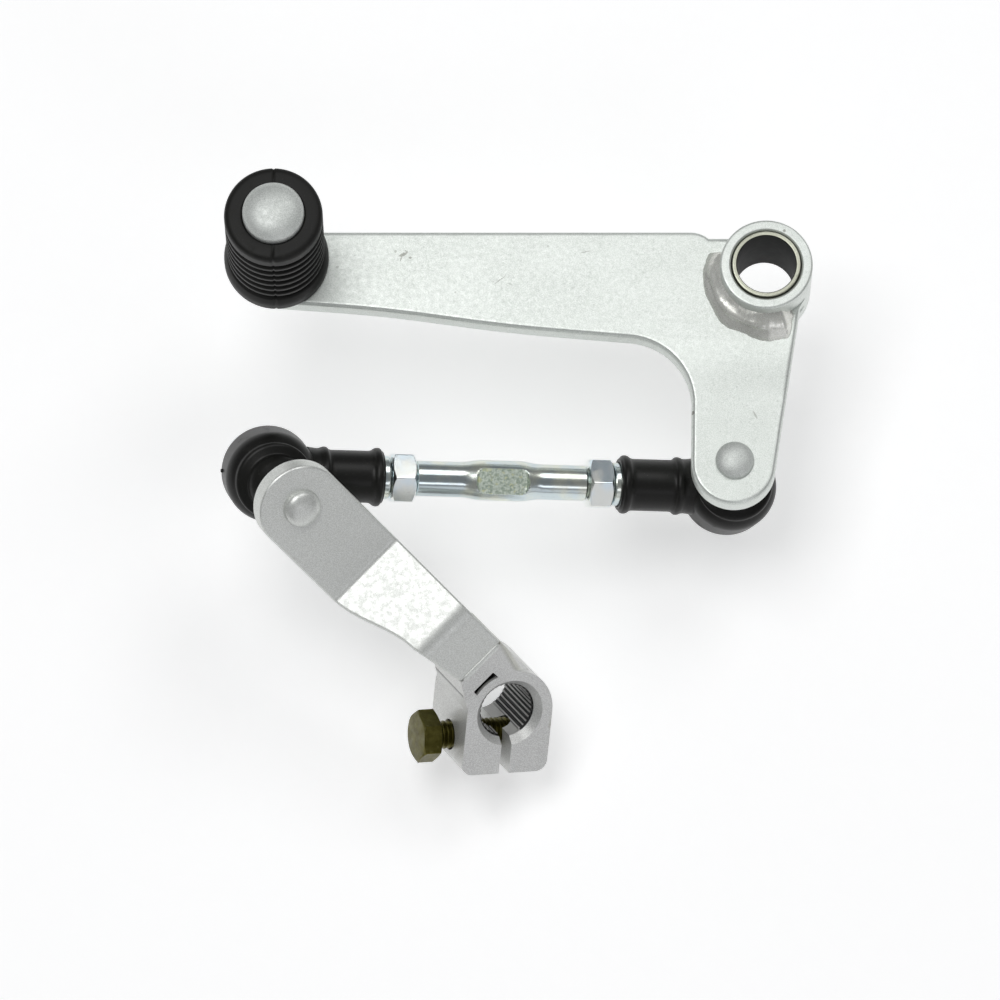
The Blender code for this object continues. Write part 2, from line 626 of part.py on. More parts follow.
def make_boot(name, parent, matrix, tilt):
    """A rubber boot: it wraps the eye, folds up to a lip on the stud and has a sleeve on the shank."""
    inner = EYE_RADIUS + GAP
    outer = inner + BOOT_WALL
    floor = EYE_BOTTOM - GAP
    first = BOOT_FIRST_FOLD_RADIUS
    second = BOOT_SECOND_FOLD_RADIUS
    lip = STUD_COLLAR_DIAMETER / 2 + GAP
    lip_low = lip_level()
    lip_top = lip_low + BOOT_LIP_HEIGHT
    wall = BOOT_FOLD_WALL
    shoulder = EYE_TOP + GAP
    crest = BOOT_FOLD_ROUND
    valley = shoulder + BOOT_FOLD_HEIGHT
    second_top = valley + BOOT_FOLD_HEIGHT - crest
    lip_outer = lip + BOOT_LIP_WALL
    lip_flare = lip_outer + BOOT_LIP_FLARE
    profile = [(CAVITY_RADIUS, floor), (inner - EYE_LOW_EDGE, floor), (inner, floor + EYE_LOW_EDGE),
               (inner, shoulder - EYE_EDGE), (inner - EYE_EDGE, shoulder), (first - wall, valley - wall),
               (second - wall, valley - crest), (second - wall, second_top), (lip, lip_low), (lip, lip_top),
               (lip_flare, lip_top), (lip_flare, lip_top - crest), (lip_outer, lip_top - 2 * crest),
               (lip_outer, lip_low + crest), (second, second_top), (second, valley + 2 * crest),
               (second - crest / 2, valley + crest), (first - crest, valley), (first, valley - crest),
               (first, shoulder + crest)]
    bend = BOOT_SHOULDER_ROUND
    low_centre = shoulder + crest - bend * sin(radians(BOOT_SHOULDER_DEG))
    profile += arc((outer - bend, low_centre), bend, BOOT_SHOULDER_DEG, 0, 4)
    bend = BOOT_FLOOR_ROUND
    profile += arc((outer - bend, floor - BOOT_FLOOR_WALL + bend), bend, 0, -90, 5)
    profile += [(CAVITY_RADIUS, floor - BOOT_FLOOR_WALL)]
    bm = turned(profile, RUBBER_STEPS)
    for vert in bm.verts:
        share = smooth_step((vert.co.z - shoulder) / (lip_low - shoulder))
        vert.co = Quaternion().slerp(tilt, share) @ vert.co
    boot = place(add_object(name, bm, "black_rubber", 60.0), parent, matrix)

    sleeve_inner = SHANK_DIAMETER / 2 + GAP
    sleeve_outer = sleeve_inner + BOOT_SLEEVE_WALL
    bead_size = BOOT_BEAD_RADIUS
    start = inner + BOOT_SLEEVE_WALL / 8
    profile = [(sleeve_inner, start), (sleeve_outer, start), (sleeve_outer, BOOT_INNER_BEAD - bead_size)]
    profile += arc_along(sleeve_outer, BOOT_INNER_BEAD, bead_size)
    profile += [(sleeve_outer, BOOT_SLEEVE_END - 3 * bead_size)]
    profile += arc_along(sleeve_outer, BOOT_SLEEVE_END - 2 * bead_size, bead_size)
    profile += [(sleeve_outer, BOOT_SLEEVE_END), (sleeve_inner, BOOT_SLEEVE_END)]
    sleeve = turned(profile, INNER_STEPS)
    bmesh.ops.rotate(sleeve, verts=sleeve.verts, cent=(0, 0, 0), matrix=Matrix.Rotation(pi / 2, 3, "Y"))
    boolean(boot, add_guide(name + "_sleeve", sleeve), "UNION")
    way = rod_of(sleeve_inner, start - CUT_MARGIN, BOOT_INNER_BEAD, INNER_STEPS)
    bmesh.ops.rotate(way, verts=way.verts, cent=(0, 0, 0), matrix=Matrix.Rotation(pi / 2, 3, "Y"))
    boolean(boot, add_guide(name + "_way", way), "DIFFERENCE")


def arc_along(radius, centre, size):
    """Profile points of a half-round bead that stands on a round wall."""
    return [(radius + size * sin(pi * i / 4), centre - size * cos(pi * i / 4)) for i in range(1, 4)]


def make_ring(name, parent, matrix):
    """The wire ring that holds the boot's lip on the stud."""
    wire = RING_WIRE_DIAMETER / 2
    radius = STUD_COLLAR_DIAMETER / 2 + GAP + BOOT_LIP_WALL + GAP + wire
    height = lip_level() + BOOT_LIP_HEIGHT / 2
    profile = arc((radius, height), wire, 0, 300, 5)
    place(add_object(name, turned(profile, INNER_STEPS), "zinc_plate"), parent, matrix)


def hexagon(across_flats, turn_deg):
    corner = across_flats / (2 * cos(radians(30)))
    return arc((0, 0), corner, turn_deg, turn_deg + 300, 5)


def make_nut(name, parent, matrix):
    """A hexagon nut along +X, with both faces chamfered."""
    nut = add_object(name, extruded(hexagon(NUT_ACROSS_FLATS, 0), NUT_START, NUT_END), "zinc_plate", 25.0)
    place(nut, parent, matrix)
    corner = NUT_ACROSS_FLATS / (2 * cos(radians(30)))
    face = NUT_ACROSS_FLATS / 2 - NUT_FACE_INSET
    c = NUT_CHAMFER
    hole = THREAD_HOLE_RADIUS
    mouth = hole + EDGE_BREAK
    profile = [(hole, NUT_START + EDGE_BREAK), (mouth, NUT_START), (face, NUT_START),
               (corner, NUT_START + c), (corner, NUT_END - c), (face, NUT_END), (mouth, NUT_END),
               (hole, NUT_END - EDGE_BREAK)]
    boolean(nut, add_guide(name + "_form", turned(profile, RUBBER_STEPS)), "INTERSECT")


def make_tie_rod(parent, matrix):
    """The rod between the ball joints, with a swollen middle that has two wrench flats."""
    thread = ROD_THREAD_DIAMETER / 2
    radius = ROD_DIAMETER / 2
    swell = ROD_SWELL_DIAMETER / 2
    end = SHANK_LENGTH - ROD_THREAD_ENGAGED
    half = ROD_CENTRES / 2
    edge = ROD_EDGE
    run = ROD_SWELL_LENGTH / 2
    ramp = run - ROD_FLATS_LENGTH / 2 - edge
    near = [(0, end), (thread - edge, end), (thread, end + edge), (thread, ROD_SHOULDER),
            (radius - edge, ROD_SHOULDER), (radius, ROD_SHOULDER + edge), (radius, half - run)]
    rise = [(radius + (swell - radius) * smooth_step(i / 4), half - run + ramp * i / 4) for i in range(1, 5)]
    side = near + rise
    profile = side + [(r, ROD_CENTRES - z) for r, z in reversed(side)]
    rod = place(add_object("tie_rod", turned(profile, RUBBER_STEPS), "zinc_plate"), parent, matrix)
    flat = ROD_FLATS_ACROSS / 2
    start, finish_at = half - ROD_FLATS_LENGTH / 2, half + ROD_FLATS_LENGTH / 2
    for name, low, high in (("cut_flat_near", flat, 2 * swell), ("cut_flat_far", -2 * swell, -flat)):
        cut = box_of((low, -2 * swell, start), (high, 2 * swell, finish_at))
        boolean(rod, add_guide(name, cut), "DIFFERENCE")


def strap_path():
    """Stretches of the strap's top face: (length, turn over the length)."""
    fold = radians(STRAP_FOLD_DEG)
    top_concave = STRAP_FOLD_RADIUS
    top_convex = STRAP_FOLD_RADIUS + STRAP_THICKNESS
    set_back_low = top_concave * tan(fold / 2)
    set_back_high = top_convex * tan(fold / 2)
    slope = STRAP_FOLD_RISE / sin(fold) - set_back_low - set_back_high
    run = STRAP_FOLD_RISE / tan(fold)
    end = ARM_CENTRES - HUB_WEB_REACH - GAP
    first = end - STRAP_END_FLAT - set_back_high - run - set_back_low
    return [(first, 0.0), (top_concave * fold, fold), (slope, 0.0), (top_convex * fold, -fold),
            (STRAP_END_FLAT, 0.0)]


def on_strap(distance):
    """The point and the slope of the strap's top face at a distance along it, from the stud."""
    x, z, slope = 0.0, STRAP_TOP, 0.0
    left = distance
    for length, turn in strap_path():
        step = min(left, length) if left > 0 else left
        share = step / length
        if turn:
            radius = length / turn
            angle = slope + turn * share
            x += radius * (sin(angle) - sin(slope))
            z += radius * (cos(slope) - cos(angle))
            slope = angle
        else:
            x += step * cos(slope)
            z += step * sin(slope)
        left -= step
        if left <= 0:
            break
    return x, z, slope


def make_strap(arm):
    """The arm's strap: a flat outline, folded along its path."""
    half = STRAP_WIDTH / 2
    path = strap_path()
    total = sum(length for length, _ in path)
    first = path[0][0]
    second = first + path[1][0] + path[2][0]
    right_edge = half
    outline = arc((0, 0), half, 90, 270, 14)
    left = [(first, -half)]
    steps = 5
    for i in range(1, steps + 1):
        share = i / steps
        width = STRAP_WIDTH + (STRAP_NARROW_WIDTH - STRAP_WIDTH) * smooth_step(share)
        left.append((first + (second - first) * share, right_edge - width))
    left.append((total, right_edge - STRAP_END_WIDTH))
    outline += left + [(total, right_edge)]
    bm = rounded(extruded(outline, -STRAP_THICKNESS, 0), STRAP_EDGE_ROUND, 2)
    cuts = [first * 0.5, first]
    distance = 0.0
    for length, turn in path:
        pieces = 4 if turn else 1
        cuts += [distance + length * i / pieces for i in range(pieces + 1)]
        distance += length
    cut_across(bm, [cut for cut in cuts if 0 < cut < total], (1, 0, 0))
    for vert in bm.verts:
        x, z, slope = on_strap(vert.co.x)
        depth = vert.co.z
        vert.co.x = x - depth * sin(slope)
        vert.co.z = z + depth * cos(slope)
    strap = place(add_object("shift_arm", bm, "silver_paint", 13.0), arm)
    hole = rod_of(STUD_SHANK_DIAMETER / 2 + GAP, STUD_REACH - CUT_MARGIN, STRAP_TOP + CUT_MARGIN)
    boolean(strap, add_guide("cut_arm_stud", hole), "DIFFERENCE")


def clamp_axes():
    """Unit vectors across the hub: along the slit, and towards the bolt's head."""
    turn = radians(HUB_SLIT_TURN_DEG)
    slit = Vector((cos(turn), sin(turn)))
    return slit, Vector((slit.y, -slit.x))


def hub_point(along_slit, to_head):
    slit, head = clamp_axes()
    return slit * along_slit + head * to_head


def spline_outline():
    """The splined hole: square-ended teeth at an even pitch."""
    points = []
    tip, root = SPLINE_TIP_DIAMETER / 2, SPLINE_ROOT_DIAMETER / 2
    for i in range(SPLINE_TEETH):
        for radius, share in ((tip, 0.0), (tip, 0.30), (root, 0.52), (root, 0.78)):
            angle = 2 * pi * (i + share) / SPLINE_TEETH
            points.append((radius * cos(angle), radius * sin(angle)))
    return points


def make_hub(arm):
    """The clamp hub: a split ring with two ears, and a web that meets the strap."""
    top, bottom = HUB_FACE, HUB_FACE - HUB_LENGTH
    end = HUB_EAR_REACH - HUB_CORNER_ROUND
    side = HUB_RADIUS - HUB_CORNER_ROUND
    u_shape = arc((0, 0), HUB_RADIUS, 90, 270, 16)
    u_shape += arc((end, -side), HUB_CORNER_ROUND, -90, 0, 4)
    u_shape += arc((end, side), HUB_CORNER_ROUND, 0, 90, 4)
    outline = [tuple(hub_point(*point)) for point in u_shape]
    bm = rounded(extruded(outline, bottom, top), HUB_EDGE_ROUND, 2)
    hub = add_object("clamp_hub", bm, "silver_paint", 24.0)
    place(hub, arm, Matrix.Translation((ARM_CENTRES, 0, 0)))

    right_edge = STRAP_WIDTH / 2
    inside = HUB_RADIUS - HUB_EDGE_ROUND
    web = [(-HUB_WEB_REACH, -HUB_WEB_CORNER), tuple(hub_point(0, inside)), (0, 0), (0, inside),
           (-HUB_WEB_SHOULDER, right_edge), (-HUB_WEB_REACH, right_edge)]
    web_bm = extruded(web, top - HUB_WEB_DEPTH, top - END_PLAY)
    turn, fall = radians(HUB_SLOPE_TURN_DEG), radians(HUB_SLOPE_FALL_DEG)
    outward = Vector((sin(turn) * sin(fall), cos(turn) * sin(fall), cos(fall)))
    keep_below(web_bm, Vector((-HUB_WEB_REACH, right_edge - HUB_SLOPE_INSET, top - END_PLAY)), outward)
    boolean(hub, add_guide("hub_web", web_bm), "UNION")
    above, below = top + CUT_MARGIN, bottom - CUT_MARGIN
    boolean(hub, add_guide("cut_spline", extruded(spline_outline(), below, above)), "DIFFERENCE")
    mouth = HUB_MOUTH_DIAMETER / 2
    tip = SPLINE_TIP_DIAMETER / 2
    slope = mouth - tip
    front = turned([(0, top - slope), (tip, top - slope), (mouth, top), (mouth, above), (0, above)],
                   ROUND_STEPS)
    boolean(hub, add_guide("cut_mouth", front), "DIFFERENCE")
    back = turned([(0, below), (mouth, below), (mouth, bottom), (tip, bottom + slope), (0, bottom + slope)],
                  ROUND_STEPS)
    boolean(hub, add_guide("cut_back_mouth", back), "DIFFERENCE")

    half = HUB_SLIT_WIDTH / 2
    inner, outer = tip / 2, HUB_EAR_REACH + CUT_MARGIN
    corners = [(inner, half), (outer, half), (outer, -half), (inner, -half)]
    slit = extruded([tuple(hub_point(*corner)) for corner in corners], below, above)
    boolean(hub, add_guide("cut_slit", slit), "DIFFERENCE")
    hole = rod_of(BOLT_DIAMETER / 2 + GAP, -(HUB_RADIUS - BOLT_FAR_WALL), HUB_RADIUS + CUT_MARGIN)
    bmesh.ops.transform(hole, verts=hole.verts, matrix=bolt_matrix())
    boolean(hub, add_guide("cut_bolt", hole), "DIFFERENCE")

    near = mouth + WEB_SLOT_WALL
    half_deg = (180 / pi) * WEB_SLOT_LENGTH / (2 * near)
    middle_deg = 180 - (180 / pi) * WEB_SLOT_SHIFT / near
    slot = arc((0, 0), near, middle_deg - half_deg, middle_deg + half_deg, 5)
    slot += [(-near - WEB_SLOT_WIDTH, y) for y in (slot[-1][1], slot[0][1])]
    boolean(hub, add_guide("cut_web_slot", extruded(slot, top - WEB_SLOT_DEPTH, above)), "DIFFERENCE")


def bolt_matrix():
    """From the bolt's own frame, head along +Z, to the hub's: it crosses the ears beside the hole."""
    slit, head = clamp_axes()
    across = Vector((head.x, head.y, 0))
    along = Vector((slit.x, slit.y, 0))
    turn = Matrix((along, across.cross(along), across)).transposed().to_4x4()
    height = HUB_FACE - HUB_LENGTH * BOLT_DEPTH_SHARE
    return Matrix.Translation(along * BOLT_OFFSET + Vector((0, 0, height))) @ turn


def make_arm_weld(arm):
    """The weld bead under the strap, where it meets the hub's web."""
    leg = ARM_WELD_LEG
    corner_x = ARM_CENTRES - HUB_WEB_REACH - GAP
    level = LOW_STRAP_TOP - STRAP_THICKNESS - GAP
    right = STRAP_WIDTH / 2 - ARM_WELD_INSET
    left = STRAP_WIDTH / 2 - STRAP_END_WIDTH + ARM_WELD_INSET
    section = [(0, 0)] + [(-leg * out, -leg * down) for out, down in fillet()]
    bm = extruded(section, left, right)
    turn = Matrix(((1, 0, 0), (0, 0, 1), (0, 1, 0)))
    bmesh.ops.transform(bm, verts=bm.verts, matrix=turn.to_4x4())
    bmesh.ops.translate(bm, verts=bm.verts, vec=(corner_x, 0, level))
    place(add_object("arm_weld", bm, "silver_paint", 60.0), arm)


def make_bolt(arm):
    """The hexagon bolt of the clamp, its head standing off the ear."""
    under_head = HUB_RADIUS + BOLT_UNSCREWED
    radius = BOLT_DIAMETER / 2
    end = under_head - BOLT_LENGTH
    edge = BOLT_END_CHAMFER
    head_top = under_head + BOLT_HEAD_HEIGHT
    turn = Matrix.Rotation(radians(BOLT_TURN_DEG), 4, "Z")
    matrix = Matrix.Translation((ARM_CENTRES, 0, 0)) @ bolt_matrix() @ turn
    head = extruded(hexagon(BOLT_HEAD_ACROSS_FLATS, 0), under_head, head_top)
    bolt = place(add_object("clamp_bolt", head, "bolt_steel", 25.0), arm, matrix)
    corner = BOLT_HEAD_ACROSS_FLATS / (2 * cos(radians(30)))
    face = BOLT_HEAD_ACROSS_FLATS / 2 - BOLT_FACE_INSET
    form = turned([(0, under_head), (corner, under_head), (corner, head_top - BOLT_HEAD_CHAMFER),
                   (face, head_top), (0, head_top)], ROUND_STEPS)
    boolean(bolt, add_guide("bolt_form", form), "INTERSECT")
    inside = under_head + BOLT_HEAD_CHAMFER
    shank = turned([(0, end), (radius - edge, end), (radius, end + edge), (radius, inside), (0, inside)],
                   SMALL_STEPS)
    boolean(bolt, add_guide("bolt_shank", shank), "UNION")


def along_x(turn_deg=0.0):
    """From a piece turned about Z to one that lies along +X."""
    return Matrix.Rotation(pi / 2, 4, "Y") @ Matrix.Rotation(radians(turn_deg), 4, "Z")


def build():
    clear_scene()
    make_bush()
    pedal = add_frame("pedal_swing", None, Matrix())
    make_boss(pedal)
    make_plate(pedal)
    make_welds(pedal)
    make_toe_peg(pedal)

    at_pedal = stud_seat() @ Matrix.Translation((0, 0, -STUD_REACH))
    make_stud("pedal_ball_stud", pedal, at_pedal, PLATE_THICKNESS)
    swivel = add_frame("rod_swing", pedal, at_pedal @ Matrix.Rotation(radians(ROD_SWING_DEG), 4, "Z"))
    make_ring("pedal_boot_ring", swivel, Matrix())
    pitch = add_frame("rod_pitch", swivel, Matrix.Rotation(-radians(ROD_RISE_DEG), 4, "Y"))
    make_seat("pedal_ball_seat", pitch, Matrix())
    rod = add_frame("rod_roll", pitch, Matrix.Rotation(-radians(ROD_ROLL_DEG), 4, "X"))

    stud_tilt = (Matrix.Rotation(radians(ROD_ROLL_DEG), 4, "X")
                 @ Matrix.Rotation(radians(ROD_RISE_DEG), 4, "Y")).to_quaternion()
    near_eye = Matrix()
    make_housing("pedal_end_housing", rod, near_eye)
    make_cap("pedal_end_cap", rod, near_eye)
    make_boot("pedal_end_boot", rod, near_eye, tilt_of(stud_tilt))
    make_nut("pedal_end_nut", rod, along_x(NUT_TURN_DEG))
    make_tie_rod(rod, along_x(ROD_FLATS_TURN_DEG))

    far = Matrix.Translation((ROD_CENTRES, 0, 0))
    twist = Matrix.Rotation(-radians(FAR_EYE_TWIST_DEG), 4, "X")
    far_eye = far @ twist @ Matrix.Rotation(pi, 4, "Z")
    rolled = Matrix.Rotation(radians(FAR_EYE_TWIST_DEG - ARM_ROLL_DEG), 4, "X")
    pitched = Matrix.Rotation(-radians(ARM_PITCH_DEG), 4, "Y")
    arm_tilt = (Matrix.Rotation(pi, 4, "Z") @ rolled @ pitched).to_quaternion()
    make_housing("arm_end_housing", rod, far_eye)
    make_cap("arm_end_cap", rod, far_eye)
    make_boot("arm_end_boot", rod, far_eye, tilt_of(arm_tilt))
    make_nut("arm_end_nut", rod, far @ Matrix.Rotation(pi, 4, "Z") @ along_x(FAR_NUT_TURN_DEG))

    arm_roll = add_frame("arm_roll", rod, far @ Matrix.Rotation(-radians(ARM_ROLL_DEG), 4, "X"))
    make_seat("arm_ball_seat", arm_roll, Matrix())
    arm_pitch = add_frame("arm_pitch", arm_roll, Matrix.Rotation(-radians(ARM_PITCH_DEG), 4, "Y"))
    make_ring("arm_boot_ring", arm_pitch, Matrix())
    arm = add_frame("arm_swing", arm_pitch, Matrix.Rotation(radians(ARM_SWING_DEG), 4, "Z"))
    make_stud("arm_ball_stud", arm, Matrix(), STRAP_THICKNESS)
    make_strap(arm)
    make_hub(arm)
    make_arm_weld(arm)
    make_bolt(arm)


def tilt_of(turn):
    """The shortest turn that takes the eye's axis to the stud's."""
    up = Vector((0, 0, 1))
    return up.rotation_difference(turn @ up)


build()
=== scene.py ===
"""The look of a motorcycle gear shift lever: painted pedal and arm, zinc rod, rubber boots, olive bolt."""
from math import asin, atan2, cos, hypot, pi, radians, sin, tan

import bmesh
import bpy
from mathutils import Matrix, Quaternion, Vector, noise


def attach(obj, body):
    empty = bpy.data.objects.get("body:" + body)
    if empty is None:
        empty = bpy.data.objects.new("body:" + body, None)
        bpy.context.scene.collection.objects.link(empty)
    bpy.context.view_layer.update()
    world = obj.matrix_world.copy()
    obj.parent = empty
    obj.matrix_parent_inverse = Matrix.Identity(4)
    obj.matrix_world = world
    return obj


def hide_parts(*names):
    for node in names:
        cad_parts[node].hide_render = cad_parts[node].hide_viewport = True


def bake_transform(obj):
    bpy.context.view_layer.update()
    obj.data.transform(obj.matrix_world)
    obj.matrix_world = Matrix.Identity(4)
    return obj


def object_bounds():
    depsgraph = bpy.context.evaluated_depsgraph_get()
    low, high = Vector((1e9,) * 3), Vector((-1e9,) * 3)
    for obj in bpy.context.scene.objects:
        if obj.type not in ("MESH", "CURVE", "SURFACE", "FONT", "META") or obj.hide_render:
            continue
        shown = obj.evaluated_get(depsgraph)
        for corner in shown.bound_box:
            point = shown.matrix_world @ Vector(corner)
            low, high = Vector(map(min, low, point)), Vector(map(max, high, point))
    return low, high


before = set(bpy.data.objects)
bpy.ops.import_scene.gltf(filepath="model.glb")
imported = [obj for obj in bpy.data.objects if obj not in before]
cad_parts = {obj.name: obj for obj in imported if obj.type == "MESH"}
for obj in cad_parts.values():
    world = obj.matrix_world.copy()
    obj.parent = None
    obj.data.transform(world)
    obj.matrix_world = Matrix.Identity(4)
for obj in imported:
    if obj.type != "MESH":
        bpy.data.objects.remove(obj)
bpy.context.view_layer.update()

MERGE_DISTANCE = 1e-7
CORNER_LIMIT = 0.49
BUTTON_FLATNESS = 0.92

# Sizes in metres, the same as the solids'
GAP = 0.0003
END_PLAY = 0.0002

BUSH_LENGTH = 0.0194
BUSH_BORE_RADIUS = 0.00625
BUSH_OUTER_RADIUS = 0.0072
BOSS_RADIUS = 0.0098
BOSS_TOP = BUSH_LENGTH - END_PLAY
BOSS_WELD_LINE = 0.0088

PLATE_THICKNESS = 0.0055
PLATE_TOP = BOSS_TOP - 0.0070
PLATE_BOTTOM = PLATE_TOP - PLATE_THICKNESS
PLATE_EDGE_ROUND = 0.0011
PEDAL_LENGTH = 0.1033
PEDAL_END_RISE = 0.0032
PEDAL_END_RADIUS = 0.0079
PEDAL_END_CENTRE_DROP = 0.0016
PEDAL_TOP_EDGE = 0.0095
PEDAL_ROOT_EDGE = 0.0139
PEDAL_ROOT_RUN = 0.0300
INNER_CORNER_RADIUS = 0.0143
SHOULDER_RADIUS = 0.0060
PEDAL_WAIST = (-0.0814, -0.0079)
PEDAL_BELLY = (-0.0540, -0.0118)
TAB_REACH = 0.0409
TAB_SIDE = 0.0070
TAB_END_RADIUS = 0.0089
TAB_JOGGLE = 0.0006
TAB_JOGGLE_START = 0.0140
TAB_JOGGLE_LENGTH = 0.0130
TAB_TWIST_DEG = 2.3
TAB_END_BEYOND_STUD = 0.0006
TAB_BOTTOM = PLATE_BOTTOM - TAB_JOGGLE

WELD_START_DEG = 150.0
WELD_END_DEG = 303.0
WELD_FRONT = (0.0046, 0.0042)
WELD_BACK = (0.0032, 0.0030)
WELD_END_SIZE = 0.30
WELD_END_RUN = 0.11
WELD_NARROW, WELD_WIDE = 0.65, 1.14
LEDGE_CREST, LEDGE_DIP = 0.00052, 0.00062

TOE_PIN_RADIUS = 0.00645
TOE_DOME_HEIGHT = 0.0028
TOE_PIN_PROUD = 0.0009
TOE_SHANK_RADIUS = 0.0040
TOE_TAIL_RADIUS = 0.0060
TOE_TAIL_HEIGHT = 0.0016
TOE_RUBBER_RADIUS = 0.0103
TOE_RUBBER_LENGTH = 0.0315
TOE_FLANGE_RADIUS = 0.01105
TOE_FLANGE_HEIGHT = 0.0048
TOE_FLANGE_TAPER = 0.0019
TOE_RIM_HEIGHT = 0.0040
TOE_RIM_ROUND = 0.0015
TOE_RIB_COUNT = 6
TOE_RIB_SHARE = 0.40
TOE_GROOVE_DEPTH = 0.0014
TOE_SEAM_HALF_WIDTH = 0.00034
TOE_SEAM_DEPTH = 0.00022

BALL_RADIUS = 0.0050
BALL_FLAT = 0.0007
STUD_NECK_RADIUS = 0.0026
STUD_COLLAR_RADIUS = 0.0040
STUD_COLLAR_HEIGHT = 0.0040
STUD_SHANK_RADIUS = 0.0031
STUD_HEAD_RADIUS = 0.00405
STUD_HEAD_HEIGHT = 0.0020
STUD_REACH = 0.0149
CAVITY_RADIUS = 0.0065
EYE_RADIUS = 0.0079
EYE_TOP = 0.0050
EYE_BOTTOM = -0.0059
SHANK_RADIUS = 0.0046
SHANK_LENGTH = 0.0254

BOOT_OUTER = 0.0097
BOOT_FLOOR = EYE_BOTTOM - 0.0010
BOOT_FLOOR_ROUND = 0.0040
BOOT_SHOULDER_ROUND = 0.0046
BOOT_FIRST_FOLD = 0.0082
BOOT_SECOND_FOLD = 0.0064
BOOT_FOLD_HEIGHT = 0.0016
BOOT_LIP_RADIUS = 0.0043
BOOT_LIP_WALL = 0.0007
BOOT_LIP_HEIGHT = 0.0022
BOOT_SLEEVE_RADIUS = 0.0056
BOOT_SLEEVE_END = 0.0240
BOOT_INNER_BEAD = 0.0115
BOOT_BEAD = 0.0006
BOOT_SKIN = 0.0007

ROD_CENTRES = 0.0988
ROD_RADIUS = 0.00375
ROD_SWELL_RADIUS = 0.0043
ROD_SWELL_LENGTH = 0.0150
ROD_FLAT = 0.0034
ROD_FLATS_LENGTH = 0.0103
ROD_FLATS_TURN_DEG = -12.0
ROD_FLATS_SHOULDER = 0.0009
ROD_THREAD_RADIUS = 0.0029
NUT_ACROSS_FLATS = 0.0100
NUT_THICKNESS = 0.0050
NUT_CHAMFER = 0.0006
NUT_HOLE_RADIUS = 0.0033
NUT_START = SHANK_LENGTH + GAP
NUT_END = NUT_START + NUT_THICKNESS
NEAR_NUT_TURN_DEG = 52.7
FAR_NUT_TURN_DEG = 10.0

ARM_CENTRES = 0.0632
STRAP_THICKNESS = 0.0045
STRAP_WIDTH = 0.0186
STRAP_NARROW_WIDTH = 0.0140
STRAP_END_WIDTH = 0.0118
STRAP_END_FLAT = 0.0092
STRAP_FOLD_RISE = 0.0139
STRAP_FOLD_DEG = 40.5
STRAP_FOLD_RADIUS = 0.0020
STRAP_EDGE_ROUND = 0.0006
STRAP_TOP = STUD_REACH + STRAP_THICKNESS
LOW_STRAP_TOP = STRAP_TOP + STRAP_FOLD_RISE
HUB_FACE = LOW_STRAP_TOP + 0.0002
HUB_LENGTH = 0.0186
HUB_RADIUS = 0.0097
HUB_WEB_REACH = 0.0138
HUB_WEB_DEPTH = 0.0170
HUB_WEB_CORNER = 0.0027
HUB_WEB_SHOULDER = 0.0048
HUB_EAR_REACH = 0.0138
HUB_SLIT_WIDTH = 0.0023
HUB_SLIT_TURN_DEG = -46.5
HUB_MOUTH_RADIUS = 0.0074
HUB_MOUTH_DEEPER = 1.35
HUB_EDGE_ROUND = 0.0005
HUB_CORNER_ROUND = 0.0025
SPLINE_TEETH = 34
SPLINE_ROOT_RADIUS = 0.0060
SPLINE_TIP_RADIUS = 0.0056
SPLINE_PLAIN_DEG = 34.0
HUB_SLOPE_TURN_DEG = 12.0
HUB_SLOPE_FALL_DEG = 42.0
HUB_SLOPE_INSET = 0.0001
WEB_SLOT_LENGTH = 0.0060
WEB_SLOT_WIDTH = 0.0010
WEB_SLOT_DEPTH = 0.0040
WEB_SLOT_WALL = 0.0017
WEB_SLOT_SHIFT = 0.0008
CUT_MARGIN = 0.002
ARM_WELD_LEG = 0.0024
RIPPLE_RATE = 7400
UNEVEN_RATE, UNEVEN_SHARE = 500, 0.12

BOLT_RADIUS = 0.0030
BOLT_LENGTH = 0.0200
BOLT_PITCH = 0.0010
BOLT_THREAD_DEPTH = 0.00055
BOLT_PLAIN_NECK = 0.0012
BOLT_HEAD_ACROSS_FLATS = 0.0100
BOLT_HEAD_HEIGHT = 0.0041
BOLT_HEAD_CHAMFER = 0.0005
BOLT_UNSCREWED = 0.0034
BOLT_OFFSET = 0.0078
BOLT_DEPTH_SHARE = 0.46
BOLT_TURN_DEG = 12.0
BOLT_FAR_WALL = 0.0009

ROD_SWING_DEG = 181.4
ROD_RISE_DEG = 8.6
ROD_ROLL_DEG = 6.8
FAR_EYE_TWIST_DEG = 22.0
ARM_ROLL_DEG = 30.8
ARM_PITCH_DEG = 12.3
ARM_SWING_DEG = 136.5


def move(x, y, z):
    return Matrix.Translation((x, y, z))


def turn(degrees_, axis):
    return Matrix.Rotation(radians(degrees_), 4, axis)


STUD_SEAT = move(-TAB_SIDE, -TAB_REACH, TAB_BOTTOM) @ turn(TAB_TWIST_DEG, "Y")
NEAR_STUD = STUD_SEAT @ move(0, 0, -STUD_REACH)
NEAR_SWING = NEAR_STUD @ turn(ROD_SWING_DEG, "Z")
ROD_FRAME = NEAR_SWING @ turn(-ROD_RISE_DEG, "Y") @ turn(-ROD_ROLL_DEG, "X")
FAR_END = ROD_FRAME @ move(ROD_CENTRES, 0, 0)
FAR_EYE = FAR_END @ turn(-FAR_EYE_TWIST_DEG, "X") @ turn(180, "Z")
ARM_FRAME = FAR_END @ turn(-ARM_ROLL_DEG, "X") @ turn(-ARM_PITCH_DEG, "Y") @ turn(ARM_SWING_DEG, "Z")
HUB_FRAME = ARM_FRAME @ move(ARM_CENTRES, 0, 0)
ALONG_ROD = turn(90, "Y")


